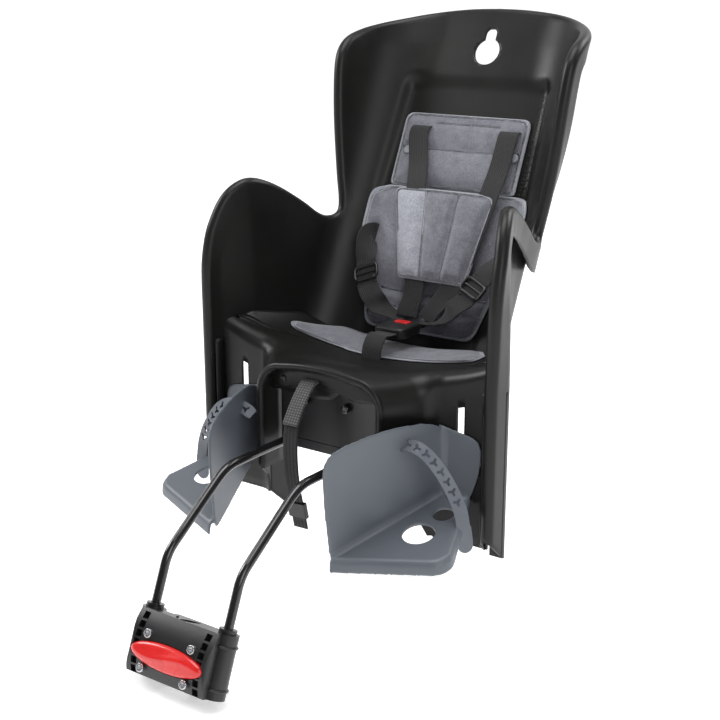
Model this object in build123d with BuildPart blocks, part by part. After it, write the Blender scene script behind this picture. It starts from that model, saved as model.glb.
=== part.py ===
from build123d import *
import math
import os

# Child bike seat for the seat tube: millimetres, +Z up, the child faces -Y.
# The origin is the centre of the seat-tube clamp in the mounting block.

# Bucket shell: a leaning back between two side walls of lesser lean
back_lean = 25.6
back_foot = (478.0, 262.0)
back_front = 2.0
side_lean = 17.0
side_level = (400.0, 400.0)
side_front = (236.0, -191.0)
side_rear = (118.7, 229.5)
back_corner_radius = 45.0
wall = 3.5
lip_width = 17.0
lip_wall = 3.5
lip_front = 4.5
lip_return = 26.0
shell_low_reach = 420.0
shell_above_rear = 130.5
shell_top_reach = side_rear[1] + shell_above_rear

# Rim of the bucket in side view: depth, height and corner radius
rim_front = 304.0
rim_arm = (507.0, 72.0)
rim_notch = (519.0, 391.0, 32.0)
rim_corner = (551.0, 636.0, 28.0)
rim_top = (790.0, 717.0)

# Seat pan, pedestal and legs
pan_rear = 480.0
pan_low = 246.0
pan_rise = 0.081
pan_dish_radius = 640.0
pan_thickness = 5.0
pedestal_front = 258.0
pedestal_front_half = 97.0
pedestal_rear_half = 130.0
pedestal_low = 172.0
base_wall = 4.0
tub_low = 242.0
tub_low_from = 352.0
leg_panel = 318.0
leg_half = 208.0
leg_outer_half = leg_half + lip_width
leg_return_width = 22.0
leg_tie = (19.0, 32.0)
leg_inner_set = 2.0
leg_rear = 374.0
leg_return = 348.0
leg_top = 346.0
leg_foot_front = 75.0
leg_foot_slope = 0.867
leg_corner = 7.0
arch_half = 90.0
arch_top = 259.0
arch_spring = 232.0
apron_front = 272.0
apron_half = 74.0
apron_low = 206.0
apron_arch_half = 24.0
apron_arch_top = 227.0

# Openings in the shell, as places on the back panel
keyhole_up = 408.0
keyhole_radius = 19.0
keyhole_neck = 17.0
keyhole_reach = 442.0
recess_depth = 5.0
recess_low = (100.0, 1.0)
recess_mid = (124.0, 200.0)
recess_high = (119.0, 352.0)
recess_round = 20.0
recess_margin = 6.0
webbing_width = 30.0
webbing = 1.8
slot_length = 34.0
slot_width = 7.0
shoulder_slot = (70.0, 294.0)
shoulder_run_right = (
    (70.0, 240.0),
    (69.0, 202.0),
    (62.0, 150.0),
    (54.0, 100.0),
    (47.0, 72.0),
    (40.0, 56.0),
    (30.0, 42.0),
)
shoulder_run_left = (
    (-58.0, 240.0),
    (-47.0, 202.0),
    (-38.0, 150.0),
    (-25.0, 100.0),
    (-12.0, 72.0),
    (-9.0, 50.0),
    (-9.0, 29.0),
)
shoulder_end_out = 22.0
hip_slot = (103.0, 132.0)
crotch_slot_y = 372.0

# Padding and harness
pad_thickness = 7.0
pad_gap = 0.3
upper_pad_half = 97.0
upper_pad_low = 208.0
upper_pad_top = 304.0
lower_pad_half = 121.0
lower_pad_shoulder = 192.0
lower_pad_top = 205.0
lower_pad_low = 9.0
lower_pad_low_half = 88.0
pad_round = 16.0
stud_place = (85.0, 258.0)
stud_radius = 6.0
stud_shank = 2.0
seat_pad_half = 150.0
seat_pad_front = 384.0
seat_pad_corner = 392.0
seat_pad_rear = 454.0
seat_pad_rear_half = 112.0
chest_pad_half = 80.0
chest_pad_top = 199.0
chest_pad_low = 73.0
chest_pad_low_edges = (-38.0, 66.0)
chest_pad_thickness = 9.0
chest_pad_out = 20.0
buckle_at = (4.0, 428.0, 276.0)
buckle_size = (46.0, 50.0, 14.0)
buckle_corner = 9.0
button_size = (22.0, 13.0)
button_back = 12.0
button_proud = 1.0
button_depth = 4.0
button_travel = 2.5
button_play = 0.4
tongue_size = (20.0, 26.0, 2.4)
tongue_half = 12.0
tongue_in = 15.0
adjuster_size = (37.0, 24.0, 7.0)
adjuster_run = ((93.0, 87.0, 24.0), (78.0, 54.0, 29.0))
hip_lap = (63.0, 38.0, 31.0)
anchor_size = (46.0, 22.0, 3.0)

# Seat-tube clamp block, in its own frame along the seat tube
tube_lean = 22.95
tube_radius = 17.0
block_half = 58.0
block_low = -37.0
block_high = 36.0
block_face = 28.0
block_split = -0.5
jaw_gap = 1.0
jaw_half = 39.0
jaw_depth = 24.0
barrel_radius = 14.0
collar_radius = 10.5
collar_height = 5.0
rod_radius = 5.5
rod_half = 55.0
rod_play = 0.1
rod_end = -32.0
block_bolt_half = 32.5
block_bolt_heights = (11.6, -27.5)
bolt_radius = 3.0
bolt_play = 0.2
bolt_head_radius = 5.2
bolt_head_height = 4.0
bolt_head_sink = 2.0
nut_flats = 10.0
nut_height = 5.0
release_height = -9.0
release_half = 53.0
release_rise = 12.5
release_proud = 3.0
release_depth = 5.5
release_travel = 4.0
release_play = 0.6
latch_thickness = 3.0
latch_play = 0.35
latch_radius = 8.5
latch_centre = -0.5
latch_arm_place = 47.0
latch_arm_width = 6.0
latch_window = 5.7
latch_window_ends = (-3.9, -1.2)
groove_radius = 4.3
groove_half = 2.4

# Support bar bends in side view and the carrier under the seat
bar_lower_bend = (39.0, 92.1)
bar_upper_bend = (145.0, 164.5)
bar_bend_radii = (48.0, 60.0)
bar_rear = 382.0
bar_rear_radius = 30.0
carrier_half = 76.0
carrier_front = 276.4
carrier_rear = 346.0
carrier_low = 152.0
carrier_high = 247.0
carrier_wall = 6.0
carrier_gap = 1.0
carrier_bolt = (31.0, 219.0)
plate_bolt = (34.0, 311.0)
plate_bolt_length = 30.0

# Footrests: the right one, the left one is its mirror image
foot_wall = 3.2
foot_inner_front = (85.0, 150.0)
foot_inner_rear = (143.0, 312.0)
foot_floor_at = (180.0, 86.0)
foot_floor_slope = 15.6
foot_outer_front = (222.0, 210.0)
foot_outer_rear = (182.0, 312.0)
foot_nose_drop = 17.0
foot_back_clear = 0.4
foot_back_half = (141.0, 198.0)
foot_back_top = 206.0
lug_at = (168.0, 187.0)
lug_half = 4.6
lug_tall = 30.0
lug_head_half = 9.0
lug_head = 3.6
lug_play = 0.4
foot_up = 35.0
foot_down = 20.0
foot_end_play = 1.0
foot_holes = ((164.0, 233.0, 20.5), (173.0, 277.0, 13.0))
strap_width = 16.5
strap_thickness = 2.5
strap_tab = (254.0, 278.0)
strap_peg = (266.0, 123.0)
strap_peg_radius = 3.6

# Safety strap below the seat front
safety_x = -16.0
safety_width = 22.0
safety_thickness = 2.0
safety_slot_height = 249.0
safety_buckle = (28.0, 20.0, 7.0)

lean = math.radians(back_lean)
back_up = Vector(0, math.sin(lean), math.cos(lean))
back_out = Vector(0, -math.cos(lean), math.sin(lean))
foot_of_back = Vector(0, *back_foot)
back_face = Plane(origin=foot_of_back, x_dir=(1, 0, 0), z_dir=back_out)
side_tilt = math.radians(side_lean)
side_axis = Vector(0, math.sin(side_tilt), math.cos(side_tilt))
side_plane = Plane(origin=(0, *side_level), x_dir=(1, 0, 0), z_dir=side_axis)
tilt = math.radians(tube_lean)
tube_up = Vector(0, math.sin(tilt), math.cos(tilt))
tube_out = Vector(0, -math.cos(tilt), math.sin(tilt))
tube_plane = Plane(origin=(0, 0, 0), x_dir=(1, 0, 0), z_dir=tube_up)
front_plane = Plane(origin=(0, 0, 0), x_dir=(1, 0, 0), z_dir=tube_out)
pan_axis = Plane(
    origin=(0, pan_rear, pan_low + pan_dish_radius),
    x_dir=(1, 0, 0),
    z_dir=(0, -1, pan_rise),
)
recess_out = back_front - recess_depth
panel_rear = recess_out - wall
pad_out = recess_out + pad_gap
pad_face = pad_out + pad_thickness


def on_back(x, up, out):
    """A point given by its place on the back panel and its distance in front of it."""
    return foot_of_back + Vector(x, 0, 0) + back_up * up + back_out * out


def bucket(grow):
    """Closed inner form of the bucket, grown outwards."""
    with BuildPart() as form:
        with BuildSketch(side_plane.offset(-shell_low_reach)):
            with BuildLine():
                Polyline(
                    side_front,
                    side_rear,
                    (-side_rear[0], side_rear[1]),
                    (-side_front[0], side_front[1]),
                    close=True,
                )
            make_face()
            if grow:
                offset(amount=grow)
        extrude(amount=shell_low_reach + shell_top_reach)
        with BuildSketch(back_face.offset(back_front - grow)):
            Rectangle(1200, 2400)
        extrude(amount=-800, mode=Mode.SUBTRACT)
        back_plane = form.faces().sort_by(Axis((0, 0, 0), back_out))[0]
        corners = back_plane.edges().filter_by(Axis.X, reverse=True)
        fillet(corners, radius=back_corner_radius + grow)
    return form.part


def behind_rim(inset):
    """Prism of everything behind the rim as seen from the side."""
    low = -80
    far = 900
    with BuildPart() as form:
        with BuildSketch(Plane.YZ):
            with BuildLine():
                edge = FilletPolyline(
                    (rim_front, low),
                    (rim_front, rim_arm[0]),
                    rim_notch[:2],
                    rim_corner[:2],
                    rim_top,
                    radius=(rim_arm[1], rim_notch[2], rim_corner[2]),
                )
                Polyline(edge @ 1, (far, rim_top[1]), (far, low), edge @ 0)
            make_face()
            if inset:
                offset(amount=-inset)
        extrude(amount=400, both=True)
    return form.part


def pan_dish(radius):
    """Long cylinder whose underside is the dished seat surface."""
    with BuildPart() as form:
        with BuildSketch(pan_axis.offset(-150)):
            Circle(radius)
        extrude(amount=600)
    return form.part


def base_outline(inset):
    """Prism over the plan of pan, pedestal and leg panels."""
    half = (
        (pedestal_front_half, pedestal_front),
        (pedestal_rear_half, leg_panel),
        (leg_half - 4, leg_panel),
        (190, 348),
        (173, 400),
        (152, pan_rear),
    )
    with BuildPart() as form:
        with BuildSketch(Plane.XY.offset(pedestal_low - 20 * (inset > 0))):
            with BuildLine():
                Polyline(*half, *((-x, y) for x, y in reversed(half)), close=True)
            make_face()
            front = vertices().group_by(Axis.Y)[0]
            fillet(front, radius=14)
            if inset:
                offset(amount=-inset)
        extrude(amount=160)
    return form.part


def ribbon(points, across, width, thickness):
    """Flat webbing through the points, its width along the given directions."""
    path = [Vector(*p) for p in points]
    sections = []
    for i, point in enumerate(path):
        ahead = path[min(i + 1, len(path) - 1)] - path[max(i - 1, 0)]
        along = ahead.normalized()
        side = Vector(*across[i])
        side = (side - along * side.dot(along)).normalized()
        sections.append(Plane(origin=point, x_dir=side, z_dir=along))
    with BuildPart() as form:
        for start, end in zip(sections, sections[1:]):
            for section in (start, end):
                with BuildSketch(section):
                    Rectangle(width, thickness)
            loft(ruled=True)
    return form.part


os.makedirs("parts", exist_ok=True)

# Forms shared by the steps of the shell
lip_form = bucket(lip_width)
lip_inner_form = bucket(lip_width - lip_wall)
wall_form = bucket(wall)
inner_form = bucket(0)
beyond_form = bucket(lip_width + 40)
rim_outer = behind_rim(0)
rim_inner = behind_rim(lip_front)
rim_open = behind_rim(lip_return)
dish = pan_dish(pan_dish_radius)
dish_under = pan_dish(pan_dish_radius + pan_thickness)
base_plan = base_outline(0)
base_inner = base_outline(base_wall)

with BuildPart() as lip_channel:
    add(lip_inner_form)
    add(wall_form, mode=Mode.SUBTRACT)
    add(rim_inner, mode=Mode.INTERSECT)

with BuildPart() as outside:
    add(beyond_form)
    add(wall_form, mode=Mode.SUBTRACT)
    add(rim_open, mode=Mode.INTERSECT)

with BuildPart() as base_hollow:
    add(base_inner)
    add(dish_under, mode=Mode.SUBTRACT)

with BuildPart() as base:
    add(base_plan)
    add(dish, mode=Mode.SUBTRACT)
    add(base_hollow.part, mode=Mode.SUBTRACT)
    with BuildSketch(Plane.YZ):
        with Locations((tub_low_from + 100, tub_low - 100)):
            Rectangle(200, 200)
    extrude(amount=300, both=True, mode=Mode.SUBTRACT)
    with BuildSketch(Plane.XZ.offset(-pedestal_front - base_wall - 1)):
        with BuildLine():
            arch = ThreePointArc((-arch_half, arch_spring), (0, arch_top), (arch_half, arch_spring))
            Polyline(arch @ 1, (arch_half, 100), (-arch_half, 100), arch @ 0)
        make_face()
    extrude(amount=base_wall + 10, mode=Mode.SUBTRACT)
    with BuildSketch(Plane.XZ.offset(-apron_front - base_wall)):
        with Locations((0, (apron_low + pan_low + 14) / 2)):
            Rectangle(2 * apron_half, pan_low + 14 - apron_low)
        with BuildLine():
            Polyline((-apron_arch_half, 190), (apron_arch_half, 190))
            Line((apron_arch_half, 190), (apron_arch_half, 214))
            ThreePointArc((apron_arch_half, 214), (0, apron_arch_top), (-apron_arch_half, 214))
            Line((-apron_arch_half, 214), (-apron_arch_half, 190))
        make_face(mode=Mode.SUBTRACT)
    extrude(amount=base_wall)

with BuildPart() as legs:
    with BuildSketch(Plane.XY.offset(-20)):
        with BuildLine():
            FilletPolyline(
                (pedestal_rear_half + leg_inner_set, leg_rear),
                (pedestal_rear_half + leg_inner_set, leg_panel + leg_inner_set),
                (leg_half, leg_panel + leg_inner_set),
                radius=leg_corner,
            )
        trace(line_width=base_wall)
        mirror(about=Plane.YZ)
    extrude(amount=285)
    with BuildSketch(Plane.XY.offset(-20)):
        with BuildLine():
            FilletPolyline(
                (leg_half - leg_tie[0], leg_panel + leg_tie[1]),
                (leg_half, leg_panel),
                (leg_half, rim_front + 2),
                (leg_outer_half, rim_front + 2),
                (leg_outer_half, leg_return),
                (leg_outer_half - leg_return_width, leg_return),
                radius=leg_corner,
            )
        trace(line_width=base_wall)
        mirror(about=Plane.YZ)
    extrude(amount=20 + leg_top)
    with BuildSketch(Plane.YZ):
        with BuildLine():
            Polyline(
                (270, leg_foot_front + 30 * leg_foot_slope),
                (400, leg_foot_front - 100 * leg_foot_slope),
                (400, -200),
                (270, -200),
                close=True,
            )
        make_face()
    extrude(amount=300, both=True, mode=Mode.SUBTRACT)

with BuildPart() as seat_shell:
    add(lip_form)
    add(inner_form, mode=Mode.SUBTRACT)
    add(rim_outer, mode=Mode.INTERSECT)
    add(lip_channel.part, mode=Mode.SUBTRACT)
    add(outside.part, mode=Mode.SUBTRACT)
    with BuildSketch(Plane.YZ):
        with BuildLine():
            Polyline(
                (200, 338),
                (324, 338),
                (336, 300),
                (350, tub_low),
                (620, tub_low),
                (620, -200),
                (200, -200),
                close=True,
            )
        make_face()
    extrude(amount=300, both=True, mode=Mode.SUBTRACT)
    add(base.part)
    add(legs.part)
    # Recessed panel for the padding, with its own backing
    with BuildSketch(back_face.offset(panel_rear)):
        with BuildLine():
            panel = Polyline(
                recess_low,
                recess_mid,
                recess_high,
                (-recess_high[0], recess_high[1]),
                (-recess_mid[0], recess_mid[1]),
                (-recess_low[0], recess_low[1]),
                close=True,
            )
        make_face()
        fillet(vertices(), radius=recess_round)
        offset(amount=recess_margin)
    extrude(amount=recess_depth + wall - 1)
    with BuildSketch(back_face.offset(recess_out)):
        with BuildLine():
            Polyline(
                recess_low,
                recess_mid,
                recess_high,
                (-recess_high[0], recess_high[1]),
                (-recess_mid[0], recess_mid[1]),
                (-recess_low[0], recess_low[1]),
                close=True,
            )
        make_face()
        fillet(vertices(), radius=recess_round)
    extrude(amount=recess_depth + 12, mode=Mode.SUBTRACT)
    # Keyhole, webbing slots and the slots of the footrest slides
    with BuildSketch(back_face.offset(20)):
        with Locations((0, keyhole_up)):
            Circle(keyhole_radius)
        with Locations((0, (keyhole_up + keyhole_reach) / 2)):
            Rectangle(keyhole_neck, keyhole_reach - keyhole_up)
        with Locations((0, keyhole_reach)):
            Circle(keyhole_neck / 2)
        for side in (-1, 1):
            with Locations((side * shoulder_slot[0], shoulder_slot[1])):
                SlotOverall(slot_length, slot_width)
            with Locations((side * hip_slot[0], hip_slot[1])):
                SlotOverall(slot_length, slot_width, rotation=90)
    extrude(amount=-60, mode=Mode.SUBTRACT)
    with BuildSketch(Plane.XY.offset(300)):
        with Locations((0, crotch_slot_y)):
            SlotOverall(slot_length, slot_width)
    extrude(amount=-70, mode=Mode.SUBTRACT)
    with BuildSketch(Plane.XZ.offset(-leg_panel + 3)):
        slot_rise = foot_up + foot_down + lug_tall + 2 * foot_end_play
        for side in (-1, 1):
            with Locations((side * lug_at[0], lug_at[1] + (foot_up - foot_down) / 2)):
                Rectangle(2 * (lug_half + lug_play), slot_rise)
    extrude(amount=-base_wall - 6, mode=Mode.SUBTRACT)
    with BuildSketch(Plane.XZ.offset(-apron_front + 2)):
        with Locations((safety_x, safety_slot_height)):
            Rectangle(safety_width + 1, 2 * safety_thickness + 2 * pad_gap)
        for side in (-1, 1):
            with Locations((side * carrier_bolt[0], carrier_bolt[1])):
                Circle(bolt_radius + bolt_play)
    extrude(amount=-base_wall - 4, mode=Mode.SUBTRACT)
seat_shell.part.label = "seat_shell"
export_step(seat_shell.part, "parts/seat_shell.step")

with BuildPart() as upper_back_pad:
    with BuildSketch(back_face.offset(pad_out)):
        with Locations((0, (upper_pad_low + upper_pad_top) / 2)):
            RectangleRounded(2 * upper_pad_half, upper_pad_top - upper_pad_low, pad_round)
        for side in (-1, 1):
            with Locations((side * shoulder_slot[0], shoulder_slot[1] - 1)):
                SlotOverall(slot_length, slot_width, mode=Mode.SUBTRACT)
            with Locations((side * stud_place[0], stud_place[1])):
                Circle(stud_shank + pad_gap, mode=Mode.SUBTRACT)
    extrude(amount=pad_thickness)
    fillet(upper_back_pad.faces().sort_by(Axis((0, 0, 0), back_out))[-1].outer_wire().edges(), 2.5)
upper_back_pad.part.label = "upper_back_pad"
export_step(upper_back_pad.part, "parts/upper_back_pad.step")

with BuildPart() as lower_back_pad:
    with BuildSketch(back_face.offset(pad_out)):
        with BuildLine():
            Polyline(
                (lower_pad_low_half, lower_pad_low),
                (lower_pad_half, lower_pad_shoulder),
                (lower_pad_half - 6, lower_pad_top),
                (-lower_pad_half + 6, lower_pad_top),
                (-lower_pad_half, lower_pad_shoulder),
                (-lower_pad_low_half, lower_pad_low),
                close=True,
            )
        make_face()
        fillet(vertices(), radius=6)
        for side in (-1, 1):
            with Locations((side * hip_slot[0], hip_slot[1])):
                SlotOverall(slot_length, slot_width, rotation=90, mode=Mode.SUBTRACT)
    extrude(amount=pad_thickness)
    fillet(lower_back_pad.faces().sort_by(Axis((0, 0, 0), back_out))[-1].outer_wire().edges(), 2.5)
lower_back_pad.part.label = "lower_back_pad"
export_step(lower_back_pad.part, "parts/lower_back_pad.step")

pad_under = pan_dish(pan_dish_radius - pad_gap)
pad_over = pan_dish(pan_dish_radius - pad_gap - pad_thickness)
with BuildPart() as seat_pad:
    with BuildSketch(Plane.XY.offset(230)):
        with BuildLine():
            Polyline(
                (0, seat_pad_front),
                (seat_pad_half, seat_pad_corner),
                (seat_pad_rear_half, seat_pad_rear),
                (-seat_pad_rear_half, seat_pad_rear),
                (-seat_pad_half, seat_pad_corner),
                close=True,
            )
        make_face()
        fillet(vertices().sort_by(Axis.Y)[1:], radius=12)
    extrude(amount=90)
    add(pad_under, mode=Mode.INTERSECT)
    add(pad_over, mode=Mode.SUBTRACT)
seat_pad.part.label = "seat_pad"
export_step(seat_pad.part, "parts/seat_pad.step")

with BuildPart() as pad_studs:
    with BuildSketch(back_face.offset(pad_face + pad_gap)):
        with Locations((stud_place[0], stud_place[1]), (-stud_place[0], stud_place[1])):
            Circle(stud_radius)
    extrude(amount=2)
    fillet(pad_studs.edges().group_by(Axis((0, 0, 0), back_out))[-1], radius=1.5)
    with BuildSketch(back_face.offset(pad_out)):
        with Locations((stud_place[0], stud_place[1]), (-stud_place[0], stud_place[1])):
            Circle(stud_shank)
    extrude(amount=pad_thickness + 1)
pad_studs.part.label = "pad_studs"
export_step(pad_studs.part, "parts/pad_studs.step")

with BuildPart() as chest_pad:
    with BuildSketch(back_face.offset(chest_pad_out)):
        with BuildLine():
            Polyline(
                (-chest_pad_half, chest_pad_top),
                (chest_pad_half, chest_pad_top),
                (chest_pad_low_edges[1], chest_pad_low),
                (chest_pad_low_edges[0], chest_pad_low),
                close=True,
            )
        make_face()
        fillet(vertices(), radius=14)
    extrude(amount=chest_pad_thickness)
    fillet(chest_pad.faces().sort_by(Axis((0, 0, 0), back_out))[-1].outer_wire().edges(), 3)
chest_pad.part.label = "chest_pad"
export_step(chest_pad.part, "parts/chest_pad.step")

# Webbing: shoulder straps run through the back, under the chest pad and down to the buckle
across_x = (1, 0, 0)


def shoulder_strap(side, run):
    """One shoulder strap from behind the back panel down to its tongue."""
    x = side * shoulder_slot[0]
    up = shoulder_slot[1]
    under_chest = chest_pad_out - webbing / 2 - pad_gap
    stations = [
        on_back(x, up, panel_rear - 9),
        on_back(x, up, panel_rear - 1),
        on_back(x, up - 0.5, pad_face + 1),
        on_back(x, up - 5, pad_face + 5),
        on_back(x, up - 16, pad_face + 6.5),
        on_back(run[0][0], run[0][1], pad_face + 8),
    ]
    stations += [on_back(place, height, under_chest) for place, height in run[1:-1]]
    stations.append(on_back(run[-1][0], run[-1][1], shoulder_end_out))
    across = [across_x] * (len(stations) - 1)
    across.append((0.93, 0, 0.36 * side))
    return ribbon(stations, across, webbing_width, webbing)


with BuildPart() as shoulder_strap_right:
    add(shoulder_strap(1, shoulder_run_right))
shoulder_strap_right.part.label = "shoulder_strap_right"
export_step(shoulder_strap_right.part, "parts/shoulder_strap_right.step")

with BuildPart() as shoulder_strap_left:
    add(shoulder_strap(-1, shoulder_run_left))
shoulder_strap_left.part.label = "shoulder_strap_left"
export_step(shoulder_strap_left.part, "parts/shoulder_strap_left.step")

# Hip straps leave the lower pad by upright slits and turn flat before the buckle
tongue_y = buckle_at[1] + buckle_size[1] / 2 + tongue_size[1] - tongue_in
tongue_z = buckle_at[2] + buckle_size[2] / 2


def hip_points(side):
    """Stations of one hip strap, straight through its adjuster."""
    x = hip_slot[0]
    high = on_back(*adjuster_run[0])
    low = on_back(*adjuster_run[1])
    along = (low - high).normalized()
    middle = (low + high) * 0.5
    reach = adjuster_size[1] / 2
    end = Vector(buckle_at[0] * side + tongue_half + 3, tongue_y + 5.5, tongue_z + 2.6)
    points = (
        on_back(x, hip_slot[1], panel_rear - 9),
        on_back(x, hip_slot[1], pad_face + 3),
        on_back(x + 1, hip_slot[1] - 10, pad_face + 15),
        middle - along * (reach + 8),
        middle - along * (reach + 1),
        middle + along * (reach + 1),
        middle + along * (reach + 6),
        on_back(*hip_lap),
        Vector(48, tongue_y + 4, tongue_z + 13),
        end + Vector(15, 0, 2),
        end,
    )
    return [Vector(side * p.X, p.Y, p.Z) for p in points]


def hip_across(side):
    """Direction of the webbing's width at each station of the hip strap."""
    flat = Vector(1, 0, 0)
    turning = flat * 0.6 + back_up * 0.43 + back_out * 0.67
    dirs = (
        back_up,
        back_up,
        turning,
        flat,
        flat,
        flat,
        flat,
        Vector(0.95, -0.2, 0.1),
        Vector(0.6, -0.8, 0),
        Vector(0, -1, 0),
        Vector(0, -1, 0),
    )
    return [Vector(side * d.X, d.Y, d.Z) for d in dirs]


def adjuster(side):
    """Sliding adjuster with a tunnel for the hip strap."""
    points = hip_points(side)
    along = (points[5] - points[4]).normalized()
    middle = (points[4] + points[5]) * 0.5
    width = hip_across(side)[4]
    width = (width - along * width.dot(along)).normalized()
    run = Plane(origin=middle, x_dir=width, z_dir=along)
    with BuildPart() as ring:
        with BuildSketch(run.offset(-adjuster_size[1] / 2)):
            RectangleRounded(adjuster_size[0], adjuster_size[2], 2)
            Rectangle(webbing_width + 2, webbing + 2, mode=Mode.SUBTRACT)
        extrude(amount=adjuster_size[1])
    return ring.part


with BuildPart() as hip_strap_right:
    add(ribbon(hip_points(1), hip_across(1), webbing_width, webbing))
hip_strap_right.part.label = "hip_strap_right"
export_step(hip_strap_right.part, "parts/hip_strap_right.step")

with BuildPart() as hip_strap_left:
    add(ribbon(hip_points(-1), hip_across(-1), webbing_width, webbing))
hip_strap_left.part.label = "hip_strap_left"
export_step(hip_strap_left.part, "parts/hip_strap_left.step")

with BuildPart() as hip_adjuster_right:
    add(adjuster(1))
hip_adjuster_right.part.label = "hip_adjuster_right"
export_step(hip_adjuster_right.part, "parts/hip_adjuster_right.step")

with BuildPart() as hip_adjuster_left:
    add(adjuster(-1))
hip_adjuster_left.part.label = "hip_adjuster_left"
export_step(hip_adjuster_left.part, "parts/hip_adjuster_left.step")

# Bars behind the back panel that hold the shoulder and hip straps
with BuildPart() as strap_anchors:
    with BuildSketch(back_face.offset(panel_rear - pad_gap)):
        for side in (-1, 1):
            with Locations((side * shoulder_slot[0], shoulder_slot[1])):
                RectangleRounded(anchor_size[0], anchor_size[1], 4)
                Rectangle(webbing_width + 2, webbing + 1.2, mode=Mode.SUBTRACT)
            with Locations((side * hip_slot[0], hip_slot[1])):
                RectangleRounded(anchor_size[1], anchor_size[0], 4)
                Rectangle(webbing + 1.2, webbing_width + 2, mode=Mode.SUBTRACT)
    extrude(amount=-anchor_size[2])
strap_anchors.part.label = "strap_anchors"
export_step(strap_anchors.part, "parts/strap_anchors.step")

buckle_front = buckle_at[1] - buckle_size[1] / 2
buckle_rear = buckle_at[1] + buckle_size[1] / 2
with BuildPart() as crotch_strap:
    stations = (
        (0, crotch_slot_y, 236),
        (0, crotch_slot_y, 262),
        (0.5, crotch_slot_y + 3, 274),
        (1.5, crotch_slot_y + 12, tongue_z + 2),
        (buckle_at[0], buckle_front - 8, tongue_z),
        (buckle_at[0], buckle_front + 12, tongue_z),
    )
    add(ribbon(stations, [across_x] * len(stations), webbing_width, webbing))
crotch_strap.part.label = "crotch_strap"
export_step(crotch_strap.part, "parts/crotch_strap.step")

button_at = (buckle_at[0], buckle_at[1] + button_back)
buckle_top = buckle_at[2] + buckle_size[2]
with BuildPart() as buckle_body:
    with BuildSketch(Plane.XY.offset(buckle_at[2])):
        with Locations((buckle_at[0], buckle_at[1])):
            RectangleRounded(buckle_size[0], buckle_size[1], buckle_corner)
    extrude(amount=buckle_size[2])
    fillet(buckle_body.edges().group_by(Axis.Z)[-1], radius=3)
    fillet(buckle_body.edges().group_by(Axis.Z)[0], radius=2)
    # Mouths for the tongues and the crotch strap, and the pocket of the button
    with Locations((buckle_at[0], buckle_rear - tongue_in / 2, tongue_z)):
        Box(
            2 * tongue_half + tongue_size[0] + 0.8,
            tongue_in + 1,
            tongue_size[2] + 0.8,
            mode=Mode.SUBTRACT,
        )
    with Locations((buckle_at[0], buckle_front + 6, tongue_z)):
        Box(webbing_width + 1.6, 14, webbing + 1.4, mode=Mode.SUBTRACT)
    with BuildSketch(Plane.XY.offset(buckle_top + 1)):
        with Locations(button_at):
            RectangleRounded(button_size[0] + 2 * button_play, button_size[1] + 2 * button_play, 4)
    extrude(amount=-1 - button_depth - button_travel + button_proud - 0.5, mode=Mode.SUBTRACT)
buckle_body.part.label = "buckle_body"
export_step(buckle_body.part, "parts/buckle_body.step")

with BuildPart() as buckle_button:
    with BuildSketch(Plane.XY.offset(buckle_top + button_proud)):
        with Locations(button_at):
            RectangleRounded(button_size[0], button_size[1], 3.6)
    extrude(amount=-button_depth)
    fillet(buckle_button.edges().group_by(Axis.Z)[-1], radius=0.9)
buckle_button.part.label = "buckle_button"
export_step(buckle_button.part, "parts/buckle_button.step")

with BuildPart() as buckle_tongues:
    for side in (-1, 1):
        with Locations((buckle_at[0] + side * tongue_half, tongue_y - tongue_size[1] / 2, tongue_z)):
            Box(tongue_size[0], tongue_size[1], tongue_size[2])
buckle_tongues.part.label = "buckle_tongues"
export_step(buckle_tongues.part, "parts/buckle_tongues.step")

# Mounting block: sketches in the plane square to the seat tube, front is local -Y
with BuildPart() as block_front:
    with BuildSketch(tube_plane.offset(block_low)):
        with Locations((0, (block_split - block_face) / 2)):
            RectangleRounded(2 * block_half, block_split + block_face, 6)
        with Locations((rod_half, 0), (-rod_half, 0)):
            Circle(barrel_radius)
        Circle(tube_radius, mode=Mode.SUBTRACT)
    extrude(amount=block_high - block_low)
    with BuildSketch(tube_plane.offset(block_high - 1)):
        with Locations((rod_half, 0), (-rod_half, 0)):
            Circle(collar_radius)
    extrude(amount=collar_height + 1)
    with BuildSketch(tube_plane.offset(rod_end - 0.6)):
        with Locations((rod_half, 0), (-rod_half, 0)):
            Circle(rod_radius + rod_play)
    extrude(amount=block_high + collar_height - rod_end + 2, mode=Mode.SUBTRACT)
    # Pocket of the release button and the two latch slots
    with BuildSketch(front_plane.offset(block_face + 1)):
        with Locations((0, release_height)):
            Ellipse(release_half + release_play, release_rise + release_play)
    extrude(
        amount=-1 - release_depth - release_travel - release_play,
        mode=Mode.SUBTRACT,
    )
    with BuildSketch(tube_plane.offset(release_height - latch_thickness / 2 - latch_play)):
        for side in (-1, 1):
            with Locations((side * rod_half, latch_centre)):
                Circle(latch_radius + latch_play)
            with Locations((side * rod_half, latch_centre + release_travel)):
                Circle(latch_radius + latch_play)
            with Locations((side * rod_half, latch_centre + release_travel / 2)):
                Rectangle(2 * (latch_radius + latch_play), release_travel)
            with Locations((side * latch_arm_place, -9.8)):
                Rectangle(latch_arm_width + 2 * latch_play, 26.4)
    extrude(amount=latch_thickness + 2 * latch_play, mode=Mode.SUBTRACT)
    with BuildSketch(front_plane.offset(block_face + 1)):
        with Locations(*((s * block_bolt_half, h) for s in (-1, 1) for h in block_bolt_heights)):
            Circle(bolt_radius + bolt_play)
    extrude(amount=-block_face - block_split - 4, mode=Mode.SUBTRACT)
    with BuildSketch(front_plane.offset(block_face + 1)):
        with Locations(*((s * block_bolt_half, h) for s in (-1, 1) for h in block_bolt_heights)):
            Circle(bolt_head_radius + bolt_play)
    extrude(amount=-1 - bolt_head_sink, mode=Mode.SUBTRACT)
block_front.part.label = "block_front"
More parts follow.
